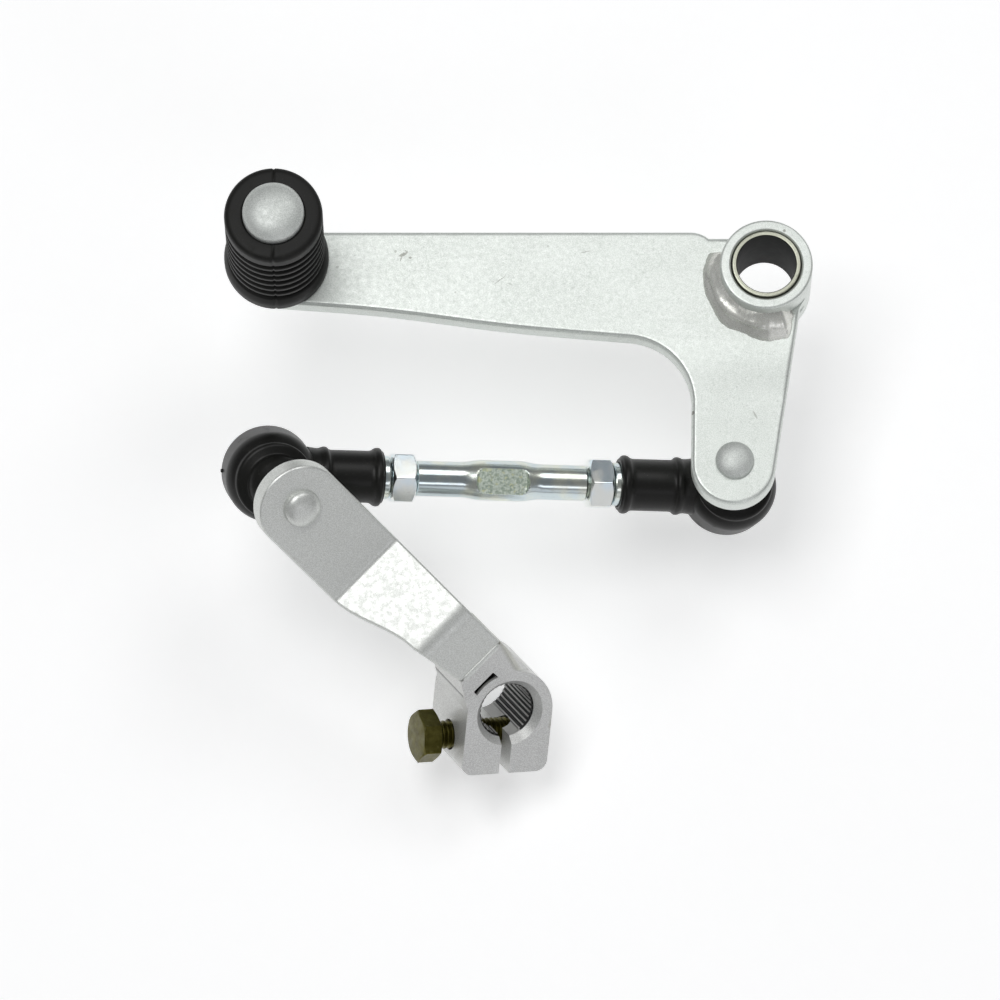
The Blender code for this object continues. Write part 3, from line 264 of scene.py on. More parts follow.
def softened(points, steps=4, closed=False):
    """A line of points whose corners are rounded: a third number is how far its corner is cut back."""
    line = []
    for i, point in enumerate(points):
        here = Vector(point[:2])
        size = point[2] if len(point) > 2 else 0.0
        if not size or (not closed and i in (0, len(points) - 1)):
            line.append(tuple(here))
            continue
        before = Vector(points[i - 1][:2]) - here
        after = Vector(points[(i + 1) % len(points)][:2]) - here
        start = here + before.normalized() * min(size, before.length * CORNER_LIMIT)
        end = here + after.normalized() * min(size, after.length * CORNER_LIMIT)
        for k in range(steps + 1):
            t = k / steps
            line.append(tuple(start * (1 - t) ** 2 + here * (2 * t * (1 - t)) + end * t * t))
    return line


def arc(centre, radius, start_deg, end_deg, steps):
    angles = [radians(start_deg + (end_deg - start_deg) * i / steps) for i in range(steps + 1)]
    return [(centre[0] + radius * cos(a), centre[1] + radius * sin(a)) for a in angles]


def button(base_radius, base, height, steps=14):
    """A flattened dome with a full round rim, from the rim to the top."""
    line = []
    for i in range(steps):
        angle = pi / 2 * i / steps
        out, rise = cos(angle) ** BUTTON_FLATNESS, sin(angle) ** BUTTON_FLATNESS
        line.append((base_radius * out, base + height * rise))
    return line + [(0.0, base + height)]


def smooth_step(value):
    t = min(1.0, max(0.0, value))
    return t * t * (3 - 2 * t)


def face_outward(bm):
    bmesh.ops.recalc_face_normals(bm, faces=bm.faces)


def turned(profile, steps=96):
    """Turns a closed profile of (radius, height) points about the Z axis."""
    bm = bmesh.new()
    verts = [bm.verts.new((r, 0.0, z)) for r, z in profile]
    on_axis = profile[0][0] == 0 and profile[-1][0] == 0
    following = verts[1:] if on_axis else verts[1:] + verts[:1]
    edges = [bm.edges.new(pair) for pair in zip(verts, following)]
    bmesh.ops.spin(bm, geom=verts + edges, cent=(0, 0, 0), axis=(0, 0, 1), angle=2 * pi, steps=steps,
                   use_merge=True)
    bmesh.ops.remove_doubles(bm, verts=bm.verts, dist=MERGE_DISTANCE)
    face_outward(bm)
    return bm


def swept(profile, start_deg, end_deg, steps):
    """Turns a closed profile part of the way about the Z axis."""
    bm = bmesh.new()
    face = bm.faces.new([bm.verts.new((r, 0.0, z)) for r, z in profile])
    bmesh.ops.rotate(bm, verts=bm.verts, cent=(0, 0, 0), matrix=Matrix.Rotation(radians(start_deg), 3, "Z"))
    bmesh.ops.spin(bm, geom=[face], cent=(0, 0, 0), axis=(0, 0, 1), angle=radians(end_deg - start_deg),
                   steps=steps)
    face_outward(bm)
    return bm


def extruded(outline, low, high):
    bm = bmesh.new()
    face = bm.faces.new([bm.verts.new((x, y, low)) for x, y in outline])
    made = bmesh.ops.extrude_face_region(bm, geom=[face])
    lifted = [v for v in made["geom"] if isinstance(v, bmesh.types.BMVert)]
    bmesh.ops.translate(bm, verts=lifted, vec=(0, 0, high - low))
    face_outward(bm)
    return bm


def cut_across(bm, places, direction):
    for place in places:
        geometry = bm.verts[:] + bm.edges[:] + bm.faces[:]
        bmesh.ops.bisect_plane(bm, geom=geometry, plane_co=Vector(direction) * place, plane_no=direction)


def keep_below(bm, point, direction):
    """Cuts away what lies on the far side of a plane, and closes the cut."""
    geometry = bm.verts[:] + bm.edges[:] + bm.faces[:]
    cut = bmesh.ops.bisect_plane(bm, geom=geometry, plane_co=point, plane_no=direction, clear_outer=True)
    rim = [item for item in cut["geom_cut"] if isinstance(item, bmesh.types.BMEdge)]
    bmesh.ops.contextual_create(bm, geom=rim)
    face_outward(bm)


def rounded(bm, width, segments=3, angle_deg=50.0, chosen=None):
    """Rounds a solid's sharp edges, or those of them that are chosen."""
    face_outward(bm)
    sharp = [e for e in bm.edges if e.calc_face_angle(0.0) > radians(angle_deg)]
    if chosen:
        sharp = [e for e in sharp if chosen(e)]
    bmesh.ops.bevel(bm, geom=sharp, offset=width, offset_type="OFFSET", segments=segments, profile=0.5,
                    affect="EDGES", material=-1)
    return bm


def joined(*solids):
    """Several loose solids in one mesh."""
    whole = bmesh.new()
    for bm in solids:
        mesh = bpy.data.meshes.new("loose")
        bm.to_mesh(mesh)
        bm.free()
        whole.from_mesh(mesh)
        bpy.data.meshes.remove(mesh)
    return whole


def loose_object(name, bm):
    mesh = bpy.data.meshes.new(name)
    bm.to_mesh(mesh)
    bm.free()
    thing = bpy.data.objects.new(name, mesh)
    bpy.context.scene.collection.objects.link(thing)
    return thing


def carved(bm, steps):
    """Cuts a solid with others, joins them or rounds its edges, one step after the other."""
    base = loose_object("base", bm)
    helpers = []
    for kind, value in steps:
        if kind == "BEVEL":
            modifier = base.modifiers.new("round", "BEVEL")
            modifier.width = value
            modifier.segments = 3
            modifier.limit_method = "ANGLE"
            modifier.angle_limit = radians(50)
            modifier.use_clamp_overlap = True
            continue
        helper = loose_object("tool", value)
        helpers.append(helper)
        modifier = base.modifiers.new("cut", "BOOLEAN")
        modifier.operation = kind
        modifier.object = helper
        modifier.solver = "EXACT"
    bpy.context.view_layer.update()
    mesh = bpy.data.meshes.new_from_object(base.evaluated_get(bpy.context.evaluated_depsgraph_get()))
    result = bmesh.new()
    result.from_mesh(mesh)
    for thing in [base] + helpers:
        bpy.data.objects.remove(thing)
    return result


def finished(name, bm, material, body, place=Matrix(), stands_for=(), smooth_deg=32.0, bends=None):
    """Makes a piece of the object: it lies in the part's frame, has one material and moves with a body; a
    piece given bends is only fixed in place and moves with no body.
    """
    bm.transform(place)
    bmesh.ops.remove_doubles(bm, verts=bm.verts, dist=MERGE_DISTANCE)
    face_outward(bm)
    piece = loose_object(name, bm)
    piece.data.shade_smooth()
    piece.data.set_sharp_from_angle(angle=radians(smooth_deg))
    piece.data.materials.append(material)
    piece.modifiers.new("even", "WEIGHTED_NORMAL").keep_sharp = True
    graph = bpy.context.evaluated_depsgraph_get()
    even = bpy.data.meshes.new_from_object(piece.evaluated_get(graph), preserve_all_data_layers=True,
                                           depsgraph=graph)
    piece.modifiers.clear()
    piece.data = even
    even.name = name
    if stands_for:
        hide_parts(*stands_for)
    if bends:
        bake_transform(piece)
    else:
        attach(piece, body)
    return piece


class Signal:
    """A number that runs through a material, with plain arithmetic."""

    def __init__(self, finish, socket):
        self.finish = finish
        self.socket = socket

    def _math(self, operation, *others):
        inputs = dict(enumerate((self, *others)))
        return self.finish.node("ShaderNodeMath", {"operation": operation}, inputs)

    def __add__(self, other):
        return self._math("ADD", other)

    def __sub__(self, other):
        return self._math("SUBTRACT", other)

    def __mul__(self, other):
        return self._math("MULTIPLY", other)

    def __truediv__(self, other):
        return self._math("DIVIDE", other)

    def __pow__(self, other):
        return self._math("POWER", other)

    def size(self):
        return self._math("ABSOLUTE")


class Finish:
    """A material that is built node by node."""

    def __init__(self, name):
        self.data = bpy.data.materials.new(name)
        self.data.use_nodes = True
        self.tree = self.data.node_tree
        self.shader = self.tree.nodes["Principled BSDF"]

    def feed(self, socket, value):
        if isinstance(value, Signal):
            self.tree.links.new(value.socket, socket)
        else:
            socket.default_value = value

    def node(self, kind, settings=None, inputs=None, output=0):
        made = self.tree.nodes.new(kind)
        for key, value in (settings or {}).items():
            setattr(made, key, value)
        for key, value in (inputs or {}).items():
            self.feed(made.inputs[key], value)
        return Signal(self, made.outputs[output])

    def set(self, **values):
        for key, value in values.items():
            self.feed(self.shader.inputs[key.replace("_", " ")], value)

    def place(self):
        return self.node("ShaderNodeTexCoord", output="Object")

    def axes(self, place=None):
        parts = self.tree.nodes.new("ShaderNodeSeparateXYZ")
        self.feed(parts.inputs[0], place or self.place())
        return [Signal(self, out) for out in parts.outputs]

    def turned_place(self, matrix, stretch=(1.0, 1.0, 1.0)):
        """The place as seen from a piece's own frame, stretched along its axes."""
        away = matrix.inverted()
        moved = self.node("ShaderNodeMapping", {"vector_type": "POINT"}, {
            "Vector": self.place(), "Location": away.to_translation(), "Rotation": away.to_euler()})
        return self.node("ShaderNodeVectorMath", {"operation": "MULTIPLY"}, {0: moved, 1: stretch})

    def noise(self, scale, detail=2.0, roughness=0.5, place=None):
        return self.node("ShaderNodeTexNoise", None, {
            "Vector": place or self.place(), "Scale": scale, "Detail": detail, "Roughness": roughness})

    def between(self, value, low, high, at_low=0.0, at_high=1.0):
        """Runs smoothly from one level to another while a value goes from low to high."""
        return self.node("ShaderNodeMapRange", {"interpolation_type": "SMOOTHSTEP"}, {
            "Value": value, "From Min": low, "From Max": high, "To Min": at_low, "To Max": at_high})

    def colour(self, factor, first, second):
        inputs = {0: factor}
        for index, value in ((6, first), (7, second)):
            inputs[index] = value if isinstance(value, Signal) else (*value, 1.0)
        return self.node("ShaderNodeMix", {"data_type": "RGBA"}, inputs, 2)

    def bump(self, height, distance, strength=1.0, under=None):
        inputs = {"Height": height, "Distance": distance, "Strength": strength}
        if under is not None:
            inputs["Normal"] = under
        return self.node("ShaderNodeBump", None, inputs)

    def attribute(self, name):
        return self.node("ShaderNodeAttribute", {"attribute_name": name}, None, "Fac")

    def mark(self, x, y, length, width, angle_deg):
        """1 on a small long mark, set by its place across and along the part, and 0 elsewhere; it shows on
        faces that look up and down alike.
        """
        across, along = self.axes()[:2]
        c, s = cos(radians(angle_deg)), sin(radians(angle_deg))
        on = ((across - x) * c + (along - y) * s) / length
        off = ((along - y) * c - (across - x) * s) / width
        return self.between((on ** 2) + (off ** 2) + self.noise(2600.0, 3.0) - 0.5, 0.35, 1.1, 1.0, 0.0)


FLAKE_GLINT = (0.93, 0.95, 0.93)
MARK_SHADE = (0.22, 0.22, 0.19)
TOOTH_STEEL = (0.40, 0.40, 0.39)
TOOTH_SHADOW = (0.012, 0.012, 0.012)
CREASE_SHADE = (0.40, 0.40, 0.33)
SLOT_SHADOW = (0.01, 0.01, 0.01)
ZINC_STAIN = (0.34, 0.35, 0.33)
SCALE_DARK, SCALE_PALE = (0.42, 0.52, 0.42), (0.90, 0.98, 0.88)
SCALE_YELLOW, SCALE_GROOVE = (0.92, 0.92, 0.50), (0.60, 0.68, 0.56)
RUBBER_BLACK, RUBBER_WORN, RUBBER_DUST = (0.0085, 0.0085, 0.0075), (0.026, 0.026, 0.022), (0.11, 0.11, 0.10)
OLIVE_DARK, OLIVE_PALE, OLIVE_WORN = (0.070, 0.062, 0.011), (0.128, 0.116, 0.028), (0.22, 0.20, 0.085)
RING_DARK, RING_PALE, RING_STAIN = (0.36, 0.37, 0.29), (0.56, 0.57, 0.48), (0.20, 0.20, 0.14)
BORE_DARK, BORE_PALE = (0.004, 0.004, 0.004), (0.012, 0.012, 0.011)
PLASTIC_DARK, PLASTIC_PALE = (0.70, 0.67, 0.58), (0.82, 0.80, 0.72)


def bare_bore(paint, tone, place_matrix):
    """Bare steel in the splined hole, with painted shadow between its teeth and painted shadows in the web's
    slot and crease.
    """
    across, along, up = paint.axes(paint.turned_place(place_matrix))
    radius = (across ** 2 + along ** 2) ** 0.5
    middle = radians(HUB_SLIT_TURN_DEG + SPLINE_PLAIN_DEG / 2)
    toward = (across * cos(middle) + along * sin(middle)) / radius
    plain = SPLINE_PLAIN_DEG / 2
    toothed = paint.between(toward, cos(radians(plain + 4)), cos(radians(plain)), 1.0, 0.0)
    inside = paint.between(radius, SPLINE_ROOT_RADIUS + 0.00002, SPLINE_ROOT_RADIUS + 0.00012, 1.0, 0.0)
    deep = paint.between(radius, SPLINE_TIP_RADIUS + 0.00004, SPLINE_TIP_RADIUS + 0.00022) * toothed
    tone = paint.colour(inside, tone, paint.colour(deep, TOOTH_STEEL, TOOTH_SHADOW))
    off_slot = (across + HUB_MOUTH_RADIUS + WEB_SLOT_WALL + WEB_SLOT_WIDTH / 2).size()
    in_slot = paint.between(off_slot, WEB_SLOT_WIDTH, WEB_SLOT_WIDTH * 1.3, 1.0, 0.0)
    in_slot = in_slot * paint.between(along.size(), WEB_SLOT_LENGTH * 0.7, WEB_SLOT_LENGTH * 0.8, 1.0, 0.0)
    way = radians(HUB_SLOPE_TURN_DEG)
    off_crease = (across + HUB_WEB_REACH) * sin(way) + (along - STRAP_WIDTH / 2) * cos(way)
    past_ring = paint.between(radius, HUB_RADIUS - 0.0003, HUB_RADIUS + 0.0003)
    crease = paint.between(off_crease.size(), 0.0002, 0.0011, 0.5, 0.0) * past_ring
    tone = paint.colour(crease, tone, CREASE_SHADE)
    below_face = paint.between(up, HUB_FACE - 0.0012, HUB_FACE - 0.0005, 0.96, 0.0)
    return paint.colour(in_slot * below_face, tone, SLOT_SHADOW)


def silver_paint(name, pale, dark, marks=(), grain=1.0, roughness=0.38, bored=None):
    """Satin silver paint with fine metal flake, a slight orange peel and a few marks."""
    paint = Finish(name)
    cloud = paint.noise(85.0, 3.0)
    flake = paint.noise(5200.0, 1.0)
    speck = paint.between(paint.noise(1500.0, 2.0), 0.60, 0.74)
    tone = paint.colour(paint.between(cloud, 0.35, 0.65), dark, pale)
    glint = paint.colour(paint.between(flake, 0.40, 0.64, 0.0, 0.55), tone, FLAKE_GLINT)
    tone = paint.colour(speck * 0.28 * grain, glint, [c * 0.62 for c in dark])
    for x, y, length, width, angle, depth in marks:
        tone = paint.colour(paint.mark(x, y, length, width, angle) * depth, tone, MARK_SHADE)
    if bored:
        tone = bare_bore(paint, tone, bored)
    peel = paint.noise(900.0, 2.0)
    fine = paint.bump(flake, 0.000010, 0.45 * grain)
    rough = paint.between(peel, 0.3, 0.7, roughness - 0.04, roughness + 0.06)
    paint.set(Base_Color=tone, Metallic=0.55, Roughness=rough,
              Normal=paint.bump(peel, 0.000035, 0.55 * grain, fine))
    return paint.data


def zinc_plate(name, place_matrix, blue, yellow):
    """Bright zinc plate with faint blue and yellow patches, lathe rings and scaly wrench flats."""
    zinc = Finish(name)
    along = zinc.turned_place(place_matrix, (9000.0, 260.0, 260.0))
    rings = zinc.noise(1.0, 3.0, 0.6, along)
    patches = zinc.noise(190.0, 3.0)
    stains = zinc.between(zinc.noise(620.0, 4.0, 0.62), 0.58, 0.76)
    base = zinc.colour(zinc.between(patches, 0.38, 0.62), blue, yellow)
    base = zinc.colour(stains * 0.35, base, ZINC_STAIN)
    worn = zinc.attribute("pressed")
    scales = zinc.between(zinc.noise(1700.0, 3.0, 0.7), 0.36, 0.62)
    scaly = zinc.colour(scales, SCALE_DARK, SCALE_PALE)
    scaly = zinc.colour(zinc.between(zinc.noise(1100.0, 2.0), 0.55, 0.68) * 0.6, scaly, SCALE_YELLOW)
    scaly = zinc.colour(zinc.between(rings, 0.40, 0.62) * 0.35, scaly, SCALE_GROOVE)
    base = zinc.colour(worn, base, scaly)
    rough = zinc.between(patches, 0.3, 0.7, 0.17, 0.26) + worn * 0.30
    zinc.set(Base_Color=base, Metallic=1.0, Roughness=rough,
             Normal=zinc.bump(rings, 0.000012, 0.35, zinc.bump(patches, 0.00012, 0.20)))
    return zinc.data


def black_rubber(name, sheen):
    """Moulded rubber, nearly black, with a soft sheen, fine grain and some dust."""
    rubber = Finish(name)
    grain = rubber.noise(2400.0, 3.0)
    dust = rubber.between(rubber.noise(310.0, 5.0, 0.65), 0.54, 0.78)
    pale = rubber.between(rubber.noise(3300.0, 2.0), 0.66, 0.76)
    tone = rubber.colour(dust * 0.5, RUBBER_BLACK, RUBBER_WORN)
    tone = rubber.colour(pale * 0.25, tone, RUBBER_DUST)
    rough = rubber.between(dust, 0.0, 1.0, sheen, sheen + 0.16)
    rubber.set(Specular_IOR_Level=0.26, Base_Color=tone, Roughness=rough,
               Normal=rubber.bump(grain, 0.00003, 0.5))
    return rubber.data


def olive_steel():
    """Yellow-olive passivated zinc, with darker stains and paler worn patches."""
    steel = Finish("olive_steel")
    cloud = steel.noise(420.0, 4.0, 0.6)
    tint = steel.noise(1300.0, 2.0)
    tone = steel.colour(steel.between(cloud, 0.30, 0.70), OLIVE_DARK, OLIVE_PALE)
    tone = steel.colour(steel.between(tint, 0.55, 0.72) * 0.25, tone, OLIVE_WORN)
    steel.set(Base_Color=tone, Metallic=0.95, Roughness=steel.between(tint, 0.3, 0.7, 0.30, 0.42),
              Normal=steel.bump(tint, 0.00003, 0.4))
    return steel.data


def bush_steel():
    """Turned steel: a greenish passivated end ring with tool marks, and a near-black bore."""
    steel = Finish("turned_bush_steel")
    across, along = steel.axes()[:2]
    radius = (across ** 2 + along ** 2) ** 0.5
    rings = steel.node("ShaderNodeTexNoise", {"noise_dimensions": "1D"},
                       {"W": radius * 9000.0, "Detail": 2.0})
    cloud = steel.noise(700.0, 4.0)
    end = steel.colour(steel.between(rings, 0.35, 0.65), RING_DARK, RING_PALE)
    end = steel.colour(steel.between(cloud, 0.55, 0.75) * 0.4, end, RING_STAIN)
    bore = steel.colour(steel.between(cloud, 0.4, 0.7), BORE_DARK, BORE_PALE)
    inside = steel.between(radius, BUSH_BORE_RADIUS + 0.00010, BUSH_BORE_RADIUS + 0.00020, 1.0, 0.0)
    metal = steel.between(inside, 0.0, 1.0, 0.85, 0.1)
    rough = steel.between(inside, 0.0, 1.0, 0.36, 0.62)
    steel.set(Base_Color=steel.colour(inside, end, bore), Specular_IOR_Level=0.2, Metallic=metal,
              Roughness=rough, Normal=steel.bump(rings, 0.00001, 0.4))
    return steel.data


def seat_plastic():
    """Off-white bearing plastic with a waxy, lightly scuffed face."""
    plastic = Finish("bearing_plastic")
    scuff = plastic.noise(900.0, 4.0)
    tone = plastic.colour(plastic.between(scuff, 0.3, 0.7), PLASTIC_DARK, PLASTIC_PALE)
    rough = plastic.between(scuff, 0.3, 0.7, 0.42, 0.6)
    plastic.set(Base_Color=tone, Roughness=rough, Normal=plastic.bump(scuff, 0.00002, 0.3))
    return plastic.data


PEDAL_MARKS = [
    (-0.0766, 0.0043, 0.0011, 0.0004, 25.0, 0.70), (-0.0751, 0.0036, 0.0004, 0.0003, 0.0, 0.65),
    (-0.0770, 0.0034, 0.0006, 0.0002, 70.0, 0.60), (-0.0759, 0.0050, 0.0005, 0.0002, -30.0, 0.55),
    (-0.0782, 0.0050, 0.0003, 0.0003, 0.0, 0.45), (-0.0561, -0.0013, 0.0017, 0.00014, 38.0, 0.45),
    (-0.0540, -0.0022, 0.0008, 0.00012, -20.0, 0.35), (-0.0381, 0.0049, 0.0014, 0.00014, 12.0, 0.40),
    (-0.0024, -0.0308, 0.0011, 0.00022, -62.0, 0.45), (-0.0155, -0.0304, 0.0005, 0.0004, 80.0, 0.75),
    (0.0038, 0.0074, 0.00035, 0.00035, 0.0, 0.75), (-0.0905, 0.0015, 0.0004, 0.0003, 0.0, 0.30),
    (-0.0460, 0.0062, 0.0003, 0.0003, 0.0, 0.35), (-0.0655, -0.0040, 0.0003, 0.0002, 0.0, 0.35),
]
pedal_paint = silver_paint("pedal_paint", (0.70, 0.745, 0.70), (0.655, 0.70, 0.655), PEDAL_MARKS)
rivet_paint = silver_paint("rivet_paint", (0.68, 0.71, 0.68), (0.60, 0.63, 0.60), roughness=0.52)
weld_paint = silver_paint("weld_paint", (0.86, 0.86, 0.80), (0.70, 0.70, 0.64), grain=0.5, roughness=0.26)
arm_paint = silver_paint("arm_paint", (0.645, 0.66, 0.63), (0.635, 0.65, 0.62), grain=0.7)
hub_paint = silver_paint("hub_paint", (0.635, 0.635, 0.62), (0.585, 0.585, 0.57), grain=0.8, bored=HUB_FRAME)
rod_zinc = zinc_plate("rod_zinc", ROD_FRAME, (0.60, 0.68, 0.70), (0.72, 0.75, 0.67))
nut_zinc = zinc_plate("nut_zinc", ROD_FRAME, (0.74, 0.83, 0.88), (0.86, 0.88, 0.84))
boot_rubber = black_rubber("boot_rubber", 0.36)
peg_rubber = black_rubber("peg_rubber", 0.50)
bolt_olive = olive_steel()
bush_metal = bush_steel()
bearing_plastic = seat_plastic()
LOOKS = {"seat": bearing_plastic, "nut": nut_zinc, "ring": rod_zinc, "housing": rod_zinc, "cap": rod_zinc,
         "tie_rod": rod_zinc, "boot": boot_rubber, "toe_rubber": peg_rubber, "clamp_bolt": bolt_olive,
         "pivot_bush": bush_metal, "shift_arm": arm_paint, "arm_weld": arm_paint, "clamp_hub": hub_paint}
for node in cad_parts.values():
    material = next((look for word, look in LOOKS.items() if word in node.name), pedal_paint)
    for k in range(len(node.data.materials)):
        node.data.materials[k] = material


def make_pivot():
    bore, outer, end = BUSH_BORE_RADIUS, BUSH_OUTER_RADIUS, BUSH_LENGTH
    edge = 0.00022
    profile = softened([(bore, 0, edge), (outer, 0, edge), (outer, end, edge), (bore, end, edge)], 3, True)
    finished("bush_tube", turned(profile, 128), bush_metal, "bush", stands_for=["pivot_bush"])
    inner = outer + GAP
    edge = 0.0006
    chamfer = 0.00035
    profile = softened([(inner, END_PLAY, 0.0002), (BOSS_RADIUS, END_PLAY, edge),
                        (BOSS_RADIUS, BOSS_TOP, edge), (inner + chamfer, BOSS_TOP, 0.0001),
                        (inner, BOSS_TOP - chamfer, 0.0001)], 4, True)
    finished("boss_tube", turned(profile, 128), pedal_paint, "pedal", stands_for=["pivot_boss"])


def pedal_outline():
    toe = (-PEDAL_LENGTH, PEDAL_END_CENTRE_DROP)
    shoulder = (-BOSS_RADIUS - SHOULDER_RADIUS, PEDAL_TOP_EDGE - SHOULDER_RADIUS)
    inner = (-PEDAL_ROOT_RUN, -PEDAL_ROOT_EDGE - INNER_CORNER_RADIUS)
    tab = (-TAB_SIDE, -TAB_REACH - TAB_END_BEYOND_STUD)
    points = arc((0, 0), BOSS_WELD_LINE, -28, -247, 40)
    points += arc(shoulder, SHOULDER_RADIUS, 50, 90, 10)
    points += arc(toe, PEDAL_END_RADIUS, 90, 263, 40)
    points += softened([points[-1], (*PEDAL_WAIST, 0.010), (*PEDAL_BELLY, 0.010),
                        arc(inner, INNER_CORNER_RADIUS, 85, 84, 1)[0]], 6)[1:-1]
    points += arc(inner, INNER_CORNER_RADIUS, 85, 2, 24)
    points += arc(tab, TAB_END_RADIUS, 180, 351, 40)
    return points


def make_plate():
    bm = rounded(extruded(pedal_outline(), PLATE_BOTTOM, PLATE_TOP), PLATE_EDGE_ROUND, 4)
    stations = 14
    cuts = [-TAB_JOGGLE_START - TAB_JOGGLE_LENGTH * i / stations for i in range(stations + 1)]
    cut_across(bm, cuts, (0, 1, 0))
    for vert in bm.verts:
        run = (-vert.co.y - TAB_JOGGLE_START) / TAB_JOGGLE_LENGTH
        across = vert.co.x + TAB_SIDE
        vert.co.z -= (TAB_JOGGLE + tan(radians(TAB_TWIST_DEG)) * across) * smooth_step(run)
    finished("plate", bm, pedal_paint, "pedal", stands_for=["pedal_plate"], smooth_deg=20.0)


def hump(value, middle, half_width):
    """1 at the middle and 0 from half a width away."""
    return smooth_step(1 - abs(value - middle) / half_width)


def to_radius(vert, radius):
    scale = radius / hypot(vert.co.x, vert.co.y)
    vert.co.x *= scale
    vert.co.y *= scale


def weld_bead(foot, height, level, up, seed):
    """A hand-laid weld round the boss: a crest runs along a part of it, and its edges wander."""
    inner = BOSS_RADIUS - 0.0004
    base = level - up * 0.0003
    reach = foot + 0.0007
    profile = [(inner, base)]
    for i in range(17):
        t = i / 16
        swell = 0.10 * sin(pi * t)
        profile.append((inner + reach * (1 - t + swell), base + up * height * (t + swell)))
    bm = swept(profile, WELD_START_DEG, WELD_END_DEG, 130)
    start, end = radians(WELD_START_DEG), radians(WELD_END_DEG)
    for vert in bm.verts:
        angle = atan2(vert.co.y, vert.co.x) % (2 * pi)
        share = (angle - start) / (end - start)
        thin = WELD_END_SIZE + (1 - WELD_END_SIZE) * smooth_step(min(share * 1.6, 1 - share) / WELD_END_RUN)
        width = WELD_NARROW + (WELD_WIDE - WELD_NARROW) * share
        radius = hypot(vert.co.x, vert.co.y)
        lift = abs(vert.co.z - base) / height
        out = (radius - inner) / reach
        edge = noise.noise(Vector((angle * 3.1 + seed, 0, 0))) * 0.11
        edge += noise.noise(Vector((angle * 11, seed, 0))) * 0.025
        wave = noise.noise(Vector((angle * 2.4, lift * 3.5, seed + 5))) * 0.00050
        wave += noise.noise(Vector((angle * 7, lift * 9, seed + 8))) * 0.00008
        ledge = smooth_step((angle - 3.0) / 0.35) * smooth_step((4.75 - angle) / 0.35)
        wave += ledge * (LEDGE_CREST * hump(lift, 0.70, 0.13) - LEDGE_DIP * hump(lift, 0.42, 0.20))
        kept = inner + (radius - inner) * thin * width * (1 + edge * out)
        if 0.04 < lift < 0.97:
            kept += wave * thin
        to_radius(vert, kept)
        vert.co.z = base + (vert.co.z - base) * thin * (1 + edge * 0.6)
    return bm


def make_welds():
    front = weld_bead(*WELD_FRONT, PLATE_TOP, 1, 2.0)
    finished("front_weld", front, weld_paint, "pedal", stands_for=["pivot_weld_front"], smooth_deg=60.0)
    back = weld_bead(*WELD_BACK, PLATE_BOTTOM, -1, 9.0)
    finished("back_weld", back, weld_paint, "pedal", stands_for=["pivot_weld_back"], smooth_deg=60.0)


def make_peg():
    centre = move(-PEDAL_LENGTH, PEDAL_END_RISE, 0)
    seat = PLATE_TOP
    top = PLATE_TOP + GAP + TOE_RUBBER_LENGTH
    tail_top = PLATE_BOTTOM
    tail_low = tail_top - GAP - TOE_TAIL_HEIGHT
    profile = softened([(0, tail_low), (TOE_TAIL_RADIUS, tail_low, 0.0012),
                        (TOE_TAIL_RADIUS, tail_top, 0.0002), (TOE_SHANK_RADIUS, tail_top),
                        (TOE_SHANK_RADIUS, seat), (TOE_PIN_RADIUS, seat)])
    rim = button(TOE_PIN_RADIUS, top + TOE_PIN_PROUD, TOE_DOME_HEIGHT)
    profile += softened([(TOE_PIN_RADIUS, top), (*rim[0], 0.0005), rim[1]])[1:-1] + rim[1:]
    finished("peg_pin", turned(profile), rivet_paint, "pedal", centre, ["toe_pin"])

    bore = TOE_PIN_RADIUS + 0.0001
    outer, flange = TOE_RUBBER_RADIUS, TOE_FLANGE_RADIUS
    line = [(bore, seat), (flange, seat, 0.0006),
            (flange, seat + TOE_FLANGE_HEIGHT - TOE_FLANGE_TAPER, 0.0008),
            (outer, seat + TOE_FLANGE_HEIGHT, 0.0004)]
    height = seat + TOE_FLANGE_HEIGHT
    ribs = top - TOE_RIM_HEIGHT - height
    pitch = ribs / (TOE_RIB_COUNT + 1 - TOE_RIB_SHARE)
    groove = pitch * (1 - TOE_RIB_SHARE)
    floor = outer - TOE_GROOVE_DEPTH
    for i in range(TOE_RIB_COUNT + 1):
        line += [(floor, height + 0.0002, 0.0004), (floor, height + groove - 0.0002, 0.0004)]
        line += [(outer, height + groove, 0.0003)]
        if i < TOE_RIB_COUNT:
            line += [(outer, height + pitch, 0.0003)]
        height += pitch
    line += [(outer, top, TOE_RIM_ROUND), (bore, top, 0.0004)]
    bm = turned(softened(line, 4, True), 180)
    for vert in bm.verts:
        angle = atan2(vert.co.y, vert.co.x)
        radius = hypot(vert.co.x, vert.co.y)
        seam = max(0.0, 1 - abs(abs(angle) - pi / 2) * radius / TOE_SEAM_HALF_WIDTH)
        if seam and radius > bore + 0.0003:
            to_radius(vert, radius - seam * TOE_SEAM_DEPTH * min(1.0, (radius - bore) / 0.002))
            if vert.co.z > top - 0.0003:
                vert.co.z -= seam * TOE_SEAM_DEPTH
    finished("peg_rubber", bm, peg_rubber, "pedal", centre, ["toe_rubber"], smooth_deg=40.0)


